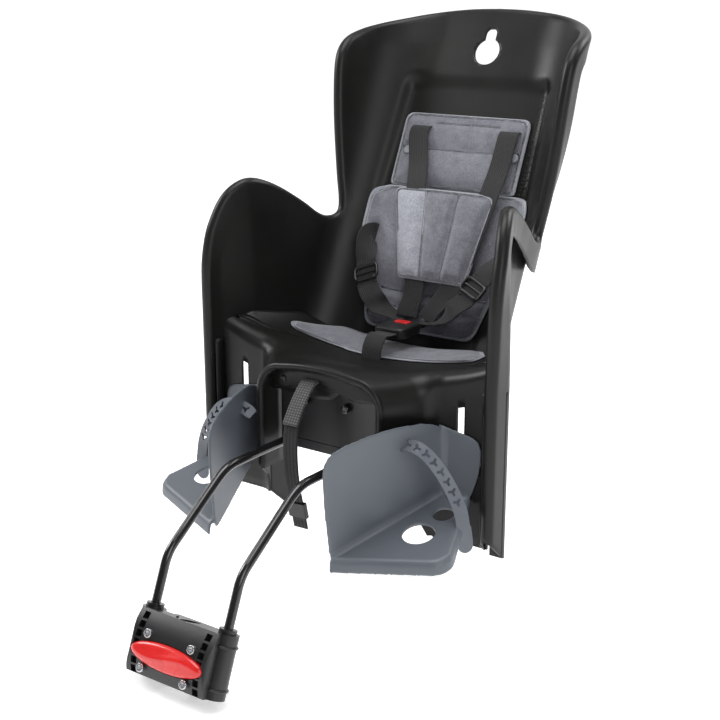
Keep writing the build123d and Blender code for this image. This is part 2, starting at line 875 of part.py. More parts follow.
export_step(block_front.part, "parts/block_front.step")

with BuildPart() as block_rear:
    with BuildSketch(tube_plane.offset(block_low + 4)):
        with Locations((0, (block_split + jaw_gap + jaw_depth) / 2)):
            RectangleRounded(2 * jaw_half, jaw_depth - block_split - jaw_gap, 5)
        Circle(tube_radius, mode=Mode.SUBTRACT)
    extrude(amount=block_high - block_low - 8)
    with BuildSketch(front_plane.offset(-jaw_depth - 1)):
        with Locations(*((s * block_bolt_half, h) for s in (-1, 1) for h in block_bolt_heights)):
            Circle(bolt_radius + bolt_play)
    extrude(amount=jaw_depth + 6, mode=Mode.SUBTRACT)
    with BuildSketch(front_plane.offset(-jaw_depth - 1)):
        with Locations(*((s * block_bolt_half, h) for s in (-1, 1) for h in block_bolt_heights)):
            RegularPolygon(nut_flats / 2 + bolt_play, 6, major_radius=False)
    extrude(amount=1 + nut_height + bolt_play, mode=Mode.SUBTRACT)
block_rear.part.label = "block_rear"
export_step(block_rear.part, "parts/block_rear.step")

bolt_seat = block_face - bolt_head_sink
with BuildPart() as block_bolts:
    with BuildSketch(front_plane.offset(bolt_seat)):
        with Locations(*((s * block_bolt_half, h) for s in (-1, 1) for h in block_bolt_heights)):
            Circle(bolt_head_radius)
    extrude(amount=bolt_head_height)
    fillet(block_bolts.edges().group_by(Axis((0, 0, 0), tube_out))[-1], radius=0.8)
    with BuildSketch(front_plane.offset(bolt_seat + bolt_head_height)):
        with Locations(*((s * block_bolt_half, h) for s in (-1, 1) for h in block_bolt_heights)):
            RegularPolygon(2.5, 6, major_radius=False)
    extrude(amount=-2.5, mode=Mode.SUBTRACT)
    with BuildSketch(front_plane.offset(bolt_seat)):
        with Locations(*((s * block_bolt_half, h) for s in (-1, 1) for h in block_bolt_heights)):
            Circle(bolt_radius)
    extrude(amount=-bolt_seat - jaw_depth + 0.5)
block_bolts.part.label = "block_bolts"
export_step(block_bolts.part, "parts/block_bolts.step")

with BuildPart() as block_nuts:
    with BuildSketch(front_plane.offset(-jaw_depth)):
        with Locations(*((s * block_bolt_half, h) for s in (-1, 1) for h in block_bolt_heights)):
            RegularPolygon(nut_flats / 2, 6, major_radius=False)
            Circle(bolt_radius + 0.05, mode=Mode.SUBTRACT)
    extrude(amount=nut_height)
block_nuts.part.label = "block_nuts"
export_step(block_nuts.part, "parts/block_nuts.step")

with BuildPart() as release_button:
    with BuildSketch(front_plane.offset(block_face + release_proud)):
        with Locations((0, release_height)):
            Ellipse(release_half, release_rise)
    extrude(amount=-release_proud - release_depth)
    fillet(release_button.edges().group_by(Axis((0, 0, 0), tube_out))[-1], radius=1.6)
    with BuildSketch(tube_plane.offset(release_height - latch_thickness / 2)):
        for side in (-1, 1):
            with Locations((side * rod_half, latch_centre)):
                Circle(latch_radius)
            with Locations((side * latch_arm_place, -12.25)):
                Rectangle(latch_arm_width, 22.5)
            for end in latch_window_ends:
                with Locations((side * rod_half, end)):
                    Circle(latch_window, mode=Mode.SUBTRACT)
            with Locations((side * rod_half, sum(latch_window_ends) / 2)):
                Rectangle(
                    2 * latch_window,
                    latch_window_ends[1] - latch_window_ends[0],
                    mode=Mode.SUBTRACT,
                )
    extrude(amount=latch_thickness)
release_button.part.label = "release_button"
export_step(release_button.part, "parts/release_button.step")

# Support bar: one round bar, bent up from the block and joined behind the carrier
with BuildPart() as support_bar:
    rod_foot = tube_up * rod_end
    for side in (-1, 1):
        with BuildLine(Plane.YZ.offset(side * rod_half)) as rod_line:
            FilletPolyline(
                (rod_foot.Y, rod_foot.Z),
                bar_lower_bend,
                bar_upper_bend,
                (bar_rear - bar_rear_radius, bar_upper_bend[1]),
                radius=bar_bend_radii,
            )
        with BuildSketch(Plane(rod_line.line @ 0, z_dir=rod_line.line % 0)):
            Circle(rod_radius)
        sweep()
    with BuildLine(Plane.XY.offset(bar_upper_bend[1])) as rear_line:
        FilletPolyline(
            (rod_half, bar_rear - bar_rear_radius),
            (rod_half, bar_rear),
            (-rod_half, bar_rear),
            (-rod_half, bar_rear - bar_rear_radius),
            radius=bar_rear_radius - 0.001,
        )
    with BuildSketch(Plane(rear_line.line @ 0, z_dir=rear_line.line % 0)):
        Circle(rod_radius)
    sweep()
    # Grooves for the latch
    with BuildSketch(tube_plane.offset(release_height - groove_half)):
        with Locations((rod_half, 0), (-rod_half, 0)):
            Circle(rod_radius + 1)
            Circle(groove_radius, mode=Mode.SUBTRACT)
    extrude(amount=2 * groove_half, mode=Mode.SUBTRACT)
support_bar.part.label = "support_bar"
export_step(support_bar.part, "parts/support_bar.step")

carrier_split = bar_upper_bend[1]
carrier_mid = (carrier_front + carrier_rear) / 2
carrier_deep = carrier_rear - carrier_front
with BuildPart() as carrier_body:
    with BuildSketch(Plane.XY.offset(carrier_split + carrier_gap / 2)):
        with Locations((0, carrier_mid)):
            RectangleRounded(2 * carrier_half, carrier_deep, 5)
    extrude(amount=carrier_high - carrier_split - carrier_gap / 2)
    with BuildSketch(Plane.XY.offset(carrier_split + 16)):
        with Locations((0, carrier_mid)):
            RectangleRounded(2 * (carrier_half - carrier_wall), carrier_deep - 2 * carrier_wall, 3)
    extrude(amount=carrier_high, mode=Mode.SUBTRACT)
    with BuildSketch(Plane.XZ.offset(-carrier_front + 5)):
        with Locations((rod_half, carrier_split), (-rod_half, carrier_split)):
            Circle(rod_radius + rod_play)
    extrude(amount=-carrier_deep - 10, mode=Mode.SUBTRACT)
    with BuildSketch(Plane.XZ.offset(-carrier_front + 1)):
        with Locations(carrier_bolt, (-carrier_bolt[0], carrier_bolt[1])):
            Circle(bolt_radius + bolt_play)
        with Locations((safety_x, safety_slot_height)):
            Rectangle(safety_width + 8, 20)
    extrude(amount=-carrier_wall - 2, mode=Mode.SUBTRACT)
    with BuildSketch(Plane.XY.offset(carrier_low)):
        with Locations((plate_bolt[0], plate_bolt[1]), (-plate_bolt[0], plate_bolt[1])):
            Circle(bolt_radius + bolt_play)
    extrude(amount=plate_bolt_length + 2, mode=Mode.SUBTRACT)
carrier_body.part.label = "carrier_body"
export_step(carrier_body.part, "parts/carrier_body.step")

with BuildPart() as clamp_plate:
    with BuildSketch(Plane.XY.offset(carrier_low)):
        with Locations((0, carrier_mid)):
            RectangleRounded(2 * carrier_half, carrier_deep, 5)
        with Locations((plate_bolt[0], plate_bolt[1]), (-plate_bolt[0], plate_bolt[1])):
            Circle(bolt_radius + bolt_play, mode=Mode.SUBTRACT)
    extrude(amount=carrier_split - carrier_gap / 2 - carrier_low)
    with BuildSketch(Plane.XZ.offset(-carrier_front + 5)):
        with Locations((rod_half, carrier_split), (-rod_half, carrier_split)):
            Circle(rod_radius + rod_play)
    extrude(amount=-carrier_deep - 10, mode=Mode.SUBTRACT)
clamp_plate.part.label = "clamp_plate"
export_step(clamp_plate.part, "parts/clamp_plate.step")

with BuildPart() as carrier_bolts:
    with BuildSketch(Plane.XZ.offset(-apron_front)):
        with Locations(carrier_bolt, (-carrier_bolt[0], carrier_bolt[1])):
            Circle(6)
    extrude(amount=4)
    fillet(carrier_bolts.edges().group_by(Axis.Y)[0], radius=3)
    with BuildSketch(Plane.XZ.offset(-apron_front)):
        with Locations(carrier_bolt, (-carrier_bolt[0], carrier_bolt[1])):
            Circle(bolt_radius)
    extrude(amount=-17)
    with BuildSketch(Plane.XY.offset(carrier_low - bolt_head_height)):
        with Locations((plate_bolt[0], plate_bolt[1]), (-plate_bolt[0], plate_bolt[1])):
            Circle(bolt_head_radius)
    extrude(amount=bolt_head_height)
    with BuildSketch(Plane.XY.offset(carrier_low)):
        with Locations((plate_bolt[0], plate_bolt[1]), (-plate_bolt[0], plate_bolt[1])):
            Circle(bolt_radius)
    extrude(amount=plate_bolt_length)
carrier_bolts.part.label = "carrier_bolts"
export_step(carrier_bolts.part, "parts/carrier_bolts.step")

with BuildPart() as carrier_nuts:
    with BuildSketch(Plane.XZ.offset(-carrier_front - carrier_wall)):
        with Locations(carrier_bolt, (-carrier_bolt[0], carrier_bolt[1])):
            RegularPolygon(nut_flats / 2, 6, major_radius=False)
            Circle(bolt_radius + 0.05, mode=Mode.SUBTRACT)
    extrude(amount=-nut_height)
carrier_nuts.part.label = "carrier_nuts"
export_step(carrier_nuts.part, "parts/carrier_nuts.step")

# Footrest: floor, inner wall, nose, back wall with its slide lug
slope = math.radians(foot_floor_slope)
floor_plane = Plane(
    origin=(0, *foot_floor_at),
    x_dir=(1, 0, 0),
    z_dir=(0, -math.sin(slope), math.cos(slope)),
)
inner_from = Vector(*foot_inner_front, 0)
inner_to = Vector(*foot_inner_rear, 0)
inner_run = (inner_to - inner_from).length
inner_plane = Plane(
    origin=inner_from,
    x_dir=inner_to - inner_from,
    z_dir=(inner_to - inner_from).cross(Vector(0, 0, 1)),
)
nose_from = Vector(*foot_inner_front, 0) + (inner_to - inner_from) * 0.06
nose_to = Vector(*foot_outer_front, 0)
nose_plane = Plane(
    origin=nose_from,
    x_dir=nose_to - nose_from,
    z_dir=(nose_to - nose_from).cross(Vector(0, 0, 1)),
)
nose_run = (nose_to - nose_from).length
back_rear_face = leg_panel - foot_back_clear
tab_x = foot_outer_front[0] + (foot_outer_rear[0] - foot_outer_front[0]) * (
    (strap_peg[0] - foot_outer_front[1]) / (foot_outer_rear[1] - foot_outer_front[1])
)


def floor_height(y):
    """Height of the footrest floor at a depth."""
    return foot_floor_at[1] + (y - foot_floor_at[0]) * math.tan(slope)


with BuildPart() as footrest_right:
    with BuildSketch(Plane.XY.offset(40)):
        with BuildLine():
            Polyline(
                (nose_from.X, nose_from.Y),
                foot_outer_front,
                foot_outer_rear,
                (foot_outer_rear[0], back_rear_face),
                (foot_inner_rear[0], back_rear_face),
                close=True,
            )
        make_face()
        for x, y, radius in foot_holes:
            with Locations((x, y)):
                Circle(radius, mode=Mode.SUBTRACT)
    extrude(amount=140)
    with BuildSketch(floor_plane):
        Rectangle(900, 900)
    extrude(amount=200, mode=Mode.SUBTRACT)
    with BuildSketch(floor_plane.offset(-foot_wall)):
        Rectangle(900, 900)
    extrude(amount=-200, mode=Mode.SUBTRACT)
    with BuildSketch(inner_plane):
        with BuildLine():
            top = Spline(
                (0, 184),
                (16, 211),
                (40, 220),
                (87, 222),
                (127, 218),
                (inner_run, 208),
            )
            Polyline(
                top @ 1,
                (inner_run, floor_height(foot_inner_rear[1]) - foot_wall),
                (20, 68),
                (9, 70),
                top @ 0,
            )
        make_face()
    extrude(amount=foot_wall)
    with BuildSketch(nose_plane):
        with BuildLine():
            Polyline(
                (0, floor_height(nose_from.Y) - 0.5),
                (nose_run, floor_height(nose_to.Y) - 0.5),
                (nose_run, floor_height(nose_to.Y) - foot_nose_drop),
                (0, floor_height(nose_from.Y) - foot_nose_drop),
                close=True,
            )
        make_face()
    extrude(amount=-foot_wall)
    with BuildSketch(Plane.XZ.offset(-back_rear_face)):
        with BuildLine():
            Polyline(
                (foot_back_half[0], floor_height(back_rear_face) - foot_wall),
                (foot_back_half[0], foot_back_top + 2),
                (foot_back_half[0] + 30, foot_back_top),
                (foot_back_half[1] - 6, foot_back_top - 8),
                (foot_back_half[1], foot_back_top - 20),
                (foot_outer_rear[0], floor_height(back_rear_face) - foot_wall),
                close=True,
            )
        make_face()
    extrude(amount=foot_wall)
    with Locations((lug_at[0], leg_panel + base_wall / 2, lug_at[1])):
        Box(2 * lug_half, base_wall + 2 * foot_back_clear + 0.4, lug_tall)
    with Locations((lug_at[0], leg_panel + base_wall + foot_back_clear + lug_head / 2, lug_at[1])):
        Box(2 * lug_head_half, lug_head, lug_tall)
    # Outer tab with the strap peg, and the slot for the strap in the inner wall
    with BuildSketch(Plane.YZ.offset(tab_x - foot_wall - 3)):
        with Locations(((strap_tab[0] + strap_tab[1]) / 2, strap_peg[1] - 6)):
            RectangleRounded(strap_tab[1] - strap_tab[0], 34, 5)
    extrude(amount=foot_wall)
    with BuildSketch(Plane.YZ.offset(tab_x - 4)):
        with Locations(strap_peg):
            Circle(strap_peg_radius)
    extrude(amount=14)
    with Locations((tab_x + 11, strap_peg[0], strap_peg[1])):
        Sphere(strap_peg_radius + 1.4)
    with Locations((124, 259, 193)):
        Box(24, strap_width + 2, strap_thickness + 2.4, mode=Mode.SUBTRACT)
footrest_right.part.label = "footrest_right"
export_step(footrest_right.part, "parts/footrest_right.step")

with BuildPart() as footrest_left:
    add(footrest_right.part)
    mirror(about=Plane.YZ, mode=Mode.REPLACE)
footrest_left.part.label = "footrest_left"
export_step(footrest_left.part, "parts/footrest_left.step")

strap_x = tab_x + 5.2
with BuildPart() as foot_strap_right:
    stations = (
        (114, 259, 193),
        (130, 259, 193),
        (150, 258, 198),
        (168, 258, 197),
        (182, 260, 184),
        (strap_x - 4, 263, 155),
        (strap_x, strap_peg[0], strap_peg[1] + 9),
        (strap_x, strap_peg[0], strap_peg[1] - 9),
        (strap_x + 3, 270, 72),
    )
    add(ribbon(stations, [(0, 1, 0)] * len(stations), strap_width, strap_thickness))
    with Locations(Location((strap_x, *strap_peg), (0, 90, 0))):
        Cylinder(strap_peg_radius + 0.4, 14, mode=Mode.SUBTRACT)
foot_strap_right.part.label = "foot_strap_right"
export_step(foot_strap_right.part, "parts/foot_strap_right.step")

with BuildPart() as foot_strap_left:
    add(foot_strap_right.part)
    mirror(about=Plane.YZ, mode=Mode.REPLACE)
foot_strap_left.part.label = "foot_strap_left"
export_step(foot_strap_left.part, "parts/foot_strap_left.step")

# Safety strap: doubled upper piece, plain lower piece and a small buckle
with BuildPart() as safety_strap_upper:
    stations = (
        (safety_x, 280.5, safety_slot_height),
        (safety_x, 268, safety_slot_height),
        (safety_x, 256, 246),
        (safety_x + 0.5, 238, 229),
        (safety_x + 1, 219, 204),
    )
    add(ribbon(stations, [across_x] * len(stations), safety_width, 2 * safety_thickness))
safety_strap_upper.part.label = "safety_strap_upper"
export_step(safety_strap_upper.part, "parts/safety_strap_upper.step")

with BuildPart() as safety_strap_lower:
    stations = (
        (safety_x + 1, 236, 220),
        (safety_x + 1, 223, 203),
        (safety_x + 2, 218, 170),
        (safety_x + 4, 219, 130),
        (safety_x + 6, 226, 92),
        (safety_x + 7, 231, 66),
    )
    add(ribbon(stations, [across_x] * len(stations), safety_width, safety_thickness))
safety_strap_lower.part.label = "safety_strap_lower"
export_step(safety_strap_lower.part, "parts/safety_strap_lower.step")

safety_along = (Vector(safety_x + 7, 231, 66) - Vector(safety_x + 4, 219, 130)).normalized()
with BuildPart() as safety_strap_buckle:
    ring_plane = Plane(origin=(safety_x + 6, 226, 92), x_dir=(1, 0, 0), z_dir=safety_along)
    with BuildSketch(ring_plane.offset(-safety_buckle[1] / 2)):
        RectangleRounded(safety_buckle[0], safety_buckle[2], 2)
        Rectangle(safety_width + 1.6, safety_thickness + 2, mode=Mode.SUBTRACT)
    extrude(amount=safety_buckle[1])
safety_strap_buckle.part.label = "safety_strap_buckle"
export_step(safety_strap_buckle.part, "parts/safety_strap_buckle.step")
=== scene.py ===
import math

import bmesh
import bpy
import numpy as np
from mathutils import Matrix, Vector, geometry


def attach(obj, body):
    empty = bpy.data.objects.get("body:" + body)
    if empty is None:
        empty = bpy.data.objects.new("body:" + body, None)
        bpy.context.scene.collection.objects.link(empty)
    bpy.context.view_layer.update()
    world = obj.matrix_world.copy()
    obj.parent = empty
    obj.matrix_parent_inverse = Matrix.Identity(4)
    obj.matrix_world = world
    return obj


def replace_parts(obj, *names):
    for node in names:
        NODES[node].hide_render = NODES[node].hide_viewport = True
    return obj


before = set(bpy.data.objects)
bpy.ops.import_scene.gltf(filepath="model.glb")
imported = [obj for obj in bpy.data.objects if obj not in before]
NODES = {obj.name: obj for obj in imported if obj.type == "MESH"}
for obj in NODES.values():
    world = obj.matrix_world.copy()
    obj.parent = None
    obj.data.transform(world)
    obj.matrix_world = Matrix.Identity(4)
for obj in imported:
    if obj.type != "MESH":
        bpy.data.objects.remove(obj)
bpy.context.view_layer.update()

MM = 0.001
SIDES = ((1, "right"), (-1, "left"))
FULL_TURN = 2 * math.pi
X_WAY = np.array([1.0, 0, 0])
Y_WAY = np.array([0, 1.0, 0])


# Materials

def new_material(name):
    mat = bpy.data.materials.new(name)
    mat.use_nodes = True
    tree = mat.node_tree
    return mat, tree, tree.nodes["Principled BSDF"]


def node(tree, kind, **values):
    made = tree.nodes.new(kind)
    for key, value in values.items():
        if key in made.inputs:
            made.inputs[key].default_value = value
        else:
            setattr(made, key, value)
    return made


def texture(tree, kind, coords, **values):
    made = node(tree, kind, **values)
    tree.links.new(coords, made.inputs["Vector"])
    return made


def noise(tree, coords, **values):
    return texture(tree, "ShaderNodeTexNoise", coords, **values).outputs["Fac"]


def ramp(tree, fac, stops):
    made = tree.nodes.new("ShaderNodeValToRGB")
    while len(made.color_ramp.elements) < len(stops):
        made.color_ramp.elements.new(0.5)
    for element, (place, colour) in zip(made.color_ramp.elements, stops):
        element.position = place
        element.color = (*colour, 1.0)
    tree.links.new(fac, made.inputs["Fac"])
    return made.outputs["Color"]


def map_range(tree, value, source, target):
    made = tree.nodes.new("ShaderNodeMapRange")
    for key, number in zip(("From Min", "From Max", "To Min", "To Max"), (*source, *target)):
        made.inputs[key].default_value = number
    tree.links.new(value, made.inputs["Value"])
    return made.outputs["Result"]


def bump(tree, height, strength, distance, below=None):
    made = node(tree, "ShaderNodeBump", Strength=strength, Distance=distance)
    tree.links.new(height, made.inputs["Height"])
    if below is not None:
        tree.links.new(below, made.inputs["Normal"])
    return made.outputs["Normal"]


def object_coords(tree):
    return tree.nodes.new("ShaderNodeTexCoord").outputs["Object"]


def set_inputs(shader, values):
    for key, value in values.items():
        shader.inputs[key].default_value = value


def moulded_plastic(name, dark, light, rough, grain=0.25, grain_scale=900.0, spec=0.5, coat=0.0):
    """Moulded plastic: fine grain, slow change of tone and of gloss."""
    mat, tree, bsdf = new_material(name)
    coords = object_coords(tree)
    cloud = noise(tree, coords, Scale=9.0, Detail=4.0, Roughness=0.55)
    fine = noise(tree, coords, Scale=grain_scale, Detail=3.0, Roughness=0.6)
    tree.links.new(ramp(tree, cloud, ((0.3, dark), (0.7, light))), bsdf.inputs["Base Color"])
    gloss = map_range(tree, cloud, (0.3, 0.7), (rough - 0.05, rough + 0.05))
    tree.links.new(gloss, bsdf.inputs["Roughness"])
    tree.links.new(bump(tree, fine, grain, 0.0004), bsdf.inputs["Normal"])
    set_inputs(bsdf, {"Specular IOR Level": spec, "Coat Weight": coat})
    return mat


def dotted(base, name):
    """Copy of a plastic with rows of small raised dots."""
    mat = base.copy()
    mat.name = name
    tree = mat.node_tree
    dots = texture(tree, "ShaderNodeTexVoronoi", object_coords(tree), Scale=200.0, Randomness=0.12)
    raised = ramp(tree, dots.outputs["Distance"], ((0.25, (1, 1, 1)), (0.5, (0, 0, 0))))
    tree.links.new(bump(tree, raised, 0.5, 0.0006), tree.nodes["Principled BSDF"].inputs["Normal"])
    return mat


def metal(name, dark, light, rough):
    mat, tree, bsdf = new_material(name)
    scratch = noise(tree, object_coords(tree), Scale=260.0, Detail=5.0, Roughness=0.65)
    tree.links.new(ramp(tree, scratch, ((0.3, dark), (0.7, light))), bsdf.inputs["Base Color"])
    tree.links.new(bump(tree, scratch, 0.08, 0.0003), bsdf.inputs["Normal"])
    set_inputs(bsdf, {"Metallic": 1.0, "Roughness": rough})
    return mat


def fleece(name, dark, light, pile=0.55):
    """Short-pile fleece: mottled tone, fibre bump and a soft sheen."""
    mat, tree, bsdf = new_material(name)
    coords = object_coords(tree)
    mottle = noise(tree, coords, Scale=60.0, Detail=6.0, Roughness=0.7)
    fibre = noise(tree, coords, Scale=420.0, Detail=6.0, Roughness=0.75, Distortion=0.8)
    fluff = texture(tree, "ShaderNodeTexVoronoi", coords, Scale=520.0)
    mix = node(tree, "ShaderNodeMix", data_type="RGBA", blend_type="OVERLAY")
    mix.inputs["Factor"].default_value = 0.55
    tree.links.new(ramp(tree, mottle, ((0.32, dark), (0.68, light))), mix.inputs["A"])
    speck = ramp(tree, fibre, ((0.36, (0.30, 0.30, 0.31)), (0.64, (0.72, 0.72, 0.73))))
    tree.links.new(speck, mix.inputs["B"])
    tree.links.new(mix.outputs["Result"], bsdf.inputs["Base Color"])
    under = bump(tree, fluff.outputs["Distance"], pile * 0.5, 0.0007)
    tree.links.new(bump(tree, fibre, pile, 0.0009, under), bsdf.inputs["Normal"])
    set_inputs(bsdf, {
        "Roughness": 0.92, "Specular IOR Level": 0.15, "Sheen Weight": 0.35, "Sheen Roughness": 0.5,
    })
    return mat


def woven(name, dark, light, along, across, fleck=0.0):
    """Webbing: ribs across and along the strap from its own coordinates."""
    mat, tree, bsdf = new_material(name)
    strap = node(tree, "ShaderNodeUVMap", uv_map="strap").outputs["UV"]
    ribs = texture(
        tree, "ShaderNodeTexWave", strap, Scale=along, Distortion=1.5, Detail=1.0, bands_direction="Y",
    )
    cords = texture(tree, "ShaderNodeTexWave", strap, Scale=across, Distortion=0.4, bands_direction="X")
    yarn = noise(tree, strap, Scale=900.0, Detail=3.0)
    weave = node(tree, "ShaderNodeMath", operation="MULTIPLY")
    tree.links.new(ribs.outputs["Fac"], weave.inputs[0])
    tree.links.new(cords.outputs["Fac"], weave.inputs[1])
    tone = node(tree, "ShaderNodeMath", operation="MULTIPLY_ADD")
    tree.links.new(yarn, tone.inputs[0])
    tone.inputs[1].default_value = 0.5 + fleck
    tree.links.new(weave.outputs["Value"], tone.inputs[2])
    tree.links.new(ramp(tree, tone.outputs["Value"], ((0.2, dark), (0.95, light))), bsdf.inputs["Base Color"])
    tree.links.new(bump(tree, weave.outputs["Value"], 0.7, 0.0006), bsdf.inputs["Normal"])
    set_inputs(bsdf, {"Roughness": 0.68, "Specular IOR Level": 0.3, "Sheen Weight": 0.12})
    return mat


SHELL = moulded_plastic(
    "shell_plastic", (0.0052, 0.0052, 0.0047), (0.0076, 0.0077, 0.0066), 0.38, grain_scale=700.0, spec=0.28,
)
DOTTED = dotted(SHELL, "shell_dots")
TRIM = moulded_plastic("trim_plastic", (0.008, 0.008, 0.0085), (0.013, 0.013, 0.0135), 0.34, 0.2)
FOOT = moulded_plastic("footrest_plastic", (0.098, 0.112, 0.132), (0.117, 0.132, 0.154), 0.42, 0.22, 800.0)
FOOT_STRAP = moulded_plastic("foot_strap_rubber", (0.095, 0.108, 0.130), (0.120, 0.134, 0.158), 0.45, 0.2)
BAR = moulded_plastic(
    "bar_paint", (0.006, 0.006, 0.0065), (0.009, 0.009, 0.0095), 0.22, 0.06, 300.0, coat=0.4,
)
RED = moulded_plastic(
    "button_plastic", (0.60, 0.010, 0.012), (0.72, 0.018, 0.016), 0.24, 0.05, 500.0, coat=0.3,
)
STUD = moulded_plastic("stud_plastic", (0.20, 0.21, 0.235), (0.25, 0.26, 0.285), 0.4, 0.1)
STEEL = metal("zinc_steel", (0.55, 0.55, 0.57), (0.72, 0.72, 0.74), 0.24)
PAD = fleece("pad_fleece", (0.128, 0.131, 0.150), (0.192, 0.196, 0.220))
# Paler copy of the fleece: a painted highlight for the lit fold of the chest pad
PAD_LIT_FOLD = fleece("pad_fold_painted_highlight", (0.262, 0.270, 0.302), (0.340, 0.348, 0.384))
PAD_EDGE = fleece("pad_border", (0.245, 0.255, 0.280), (0.290, 0.300, 0.326), 0.2)
WEBBING = woven("strap_webbing", (0.008, 0.008, 0.0085), (0.030, 0.030, 0.031), 190.0, 120.0)
COARSE = woven("safety_webbing", (0.008, 0.008, 0.009), (0.110, 0.108, 0.104), 90.0, 80.0, 0.25)
RIBBED = woven("tail_webbing", (0.007, 0.007, 0.008), (0.026, 0.026, 0.027), 120.0, 60.0)


# Meshes

def link_object(name, data):
    obj = bpy.data.objects.new(name, data)
    bpy.context.scene.collection.objects.link(obj)
    return obj


def object_from(bm, name):
    """New object that takes over a bmesh."""
    data = bpy.data.meshes.new(name)
    bm.to_mesh(data)
    bm.free()
    return link_object(name, data)


def mesh_object(name, verts, faces, mat, body=None):
    data = bpy.data.meshes.new(name)
    data.from_pydata([tuple(v) for v in verts], [], [tuple(f) for f in faces])
    data.validate()
    data.materials.append(mat)
    obj = link_object(name, data)
    if body:
        data.shade_smooth()
        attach(obj, body)
    return obj


def dress(obj, mat, body, stands_for):
    """Give a finished piece its material, its body and the node it replaces."""
    obj.data.materials.clear()
    obj.data.materials.append(mat)
    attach(obj, body)
    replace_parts(obj, stands_for)


def turn_outward(obj, weld=0.0):
    """Make all faces look outward, with points closer than weld joined first."""
    bm = bmesh.new()
    bm.from_mesh(obj.data)
    if weld:
        bmesh.ops.remove_doubles(bm, verts=bm.verts, dist=weld)
    bmesh.ops.recalc_face_normals(bm, faces=bm.faces)
    bm.to_mesh(obj.data)
    bm.free()


def apply_modifiers(obj):
    bpy.context.view_layer.update()
    graph = bpy.context.evaluated_depsgraph_get()
    data = bpy.data.meshes.new_from_object(obj.evaluated_get(graph))
    old = obj.data
    obj.modifiers.clear()
    obj.data = data
    if old.users == 0:
        bpy.data.meshes.remove(old)


def grid_faces(rows, cols, close=False):
    faces = []
    for r in range(rows - 1):
        for c in range(cols - (0 if close else 1)):
            d = (c + 1) % cols
            faces.append((r * cols + c, r * cols + d, (r + 1) * cols + d, (r + 1) * cols + c))
    return faces


def grid_border(rows, cols):
    """Numbers of the points round a grid, in order."""
    ring = list(range(cols)) + [r * cols + cols - 1 for r in range(1, rows)]
    ring += [(rows - 1) * cols + c for c in range(cols - 2, -1, -1)]
    return ring + [r * cols for r in range(rows - 2, 0, -1)]


def joined(groups):
    """One list of points and one of faces from several meshes."""
    verts, faces = [], []
    for more, polys in groups:
        start = len(verts)
        verts.extend(more)
        faces.extend(tuple(start + v for v in f) for f in polys)
    return np.asarray(verts), faces


def merged(name, groups, mat, body):
    verts, faces = joined(groups)
    obj = mesh_object(name, verts * MM, faces, mat, body)
    turn_outward(obj)
    return obj


def solidified(name, verts, faces, mat, body, slot, thick):
    obj = mesh_object(name, np.asarray(verts) * MM, faces, mat, body)
    turn_outward(obj, weld=0.00005)
    mod = obj.modifiers.new("wall", "SOLIDIFY")
    mod.thickness = thick * MM
    mod.offset = -1.0
    mod.use_even_offset = False
    return obj


def tube(bm, sections):
    """Closed form through a run of matching closed sections."""
    rings = [[bm.verts.new(tuple(np.asarray(p) * MM)) for p in section] for section in sections]
    count = len(rings[0])
    for a, b in zip(rings[:-1], rings[1:]):
        for k in range(count):
            j = (k + 1) % count
            bm.faces.new((a[k], a[j], b[j], b[k]))
    bm.faces.new(list(reversed(rings[0])))
    bm.faces.new(rings[-1])


def slab(bm, corners, thickness):
    """Closed slab from a flat outline, thickened along a vector."""
    tube(bm, [corners, [p + thickness for p in corners]])


def prism(ring, middle, x_way, y_way, depth):
    """Closed straight form over a flat outline, for cutting."""
    axis = np.cross(x_way, y_way)
    bm = bmesh.new()
    ends = (-depth / 2, depth / 2)
    tube(bm, [[middle + x_way * a + y_way * b + axis * end for a, b in ring] for end in ends])
    bmesh.ops.recalc_face_normals(bm, faces=bm.faces)
    return object_from(bm, "tool")


def cut(obj, tools, operation="DIFFERENCE"):
    for tool in tools:
        mod = obj.modifiers.new("cut", "BOOLEAN")
        mod.operation = operation
        mod.solver = "EXACT"
        mod.object = tool
    apply_modifiers(obj)
    for tool in tools:
        data = tool.data
        bpy.data.objects.remove(tool)
        bpy.data.meshes.remove(data)


# Lines and outlines

def unit(v):
    v = np.asarray(v, float)
    return v / np.maximum(np.linalg.norm(v, axis=-1, keepdims=True), 1e-12)


def smooth(t):
    t = np.clip(t, 0, 1)
    return t * t * (3 - 2 * t)


def turns(count):
    return np.linspace(0, FULL_TURN, count, endpoint=False)


def oval_ring(half_x, half_y, count):
    return [(half_x * math.cos(a), half_y * math.sin(a)) for a in turns(count)]


def path_lengths(points):
    return np.concatenate([[0], np.cumsum(np.linalg.norm(np.diff(points, axis=0), axis=1))])


def at_lengths(want, lengths, points):
    return np.stack([np.interp(want, lengths, points[:, k]) for k in range(points.shape[1])], axis=-1)


def spread(points, count):
    """Points set evenly along a polyline."""
    points = np.asarray(points, float)
    lengths = path_lengths(points)
    return at_lengths(np.linspace(0, lengths[-1], count), lengths, points)


def catmull(points, count, steps=24):
    """Smooth curve through the points, evenly spaced along its length."""
    pts = np.asarray(points, float)
    ext = np.vstack([2 * pts[0] - pts[1], pts, 2 * pts[-1] - pts[-2]])
    out = []
    for i in range(1, len(ext) - 2):
        p0, p1, p2, p3 = ext[i - 1 : i + 3]
        for t in np.linspace(0, 1, steps, endpoint=False):
            bend = (2 * p0 - 5 * p1 + 4 * p2 - p3) * t * t + (3 * p1 - p0 - 3 * p2 + p3) * t ** 3
            out.append(0.5 * (2 * p1 + (p2 - p0) * t + bend))
    out.append(ext[-2])
    return spread(out, count)


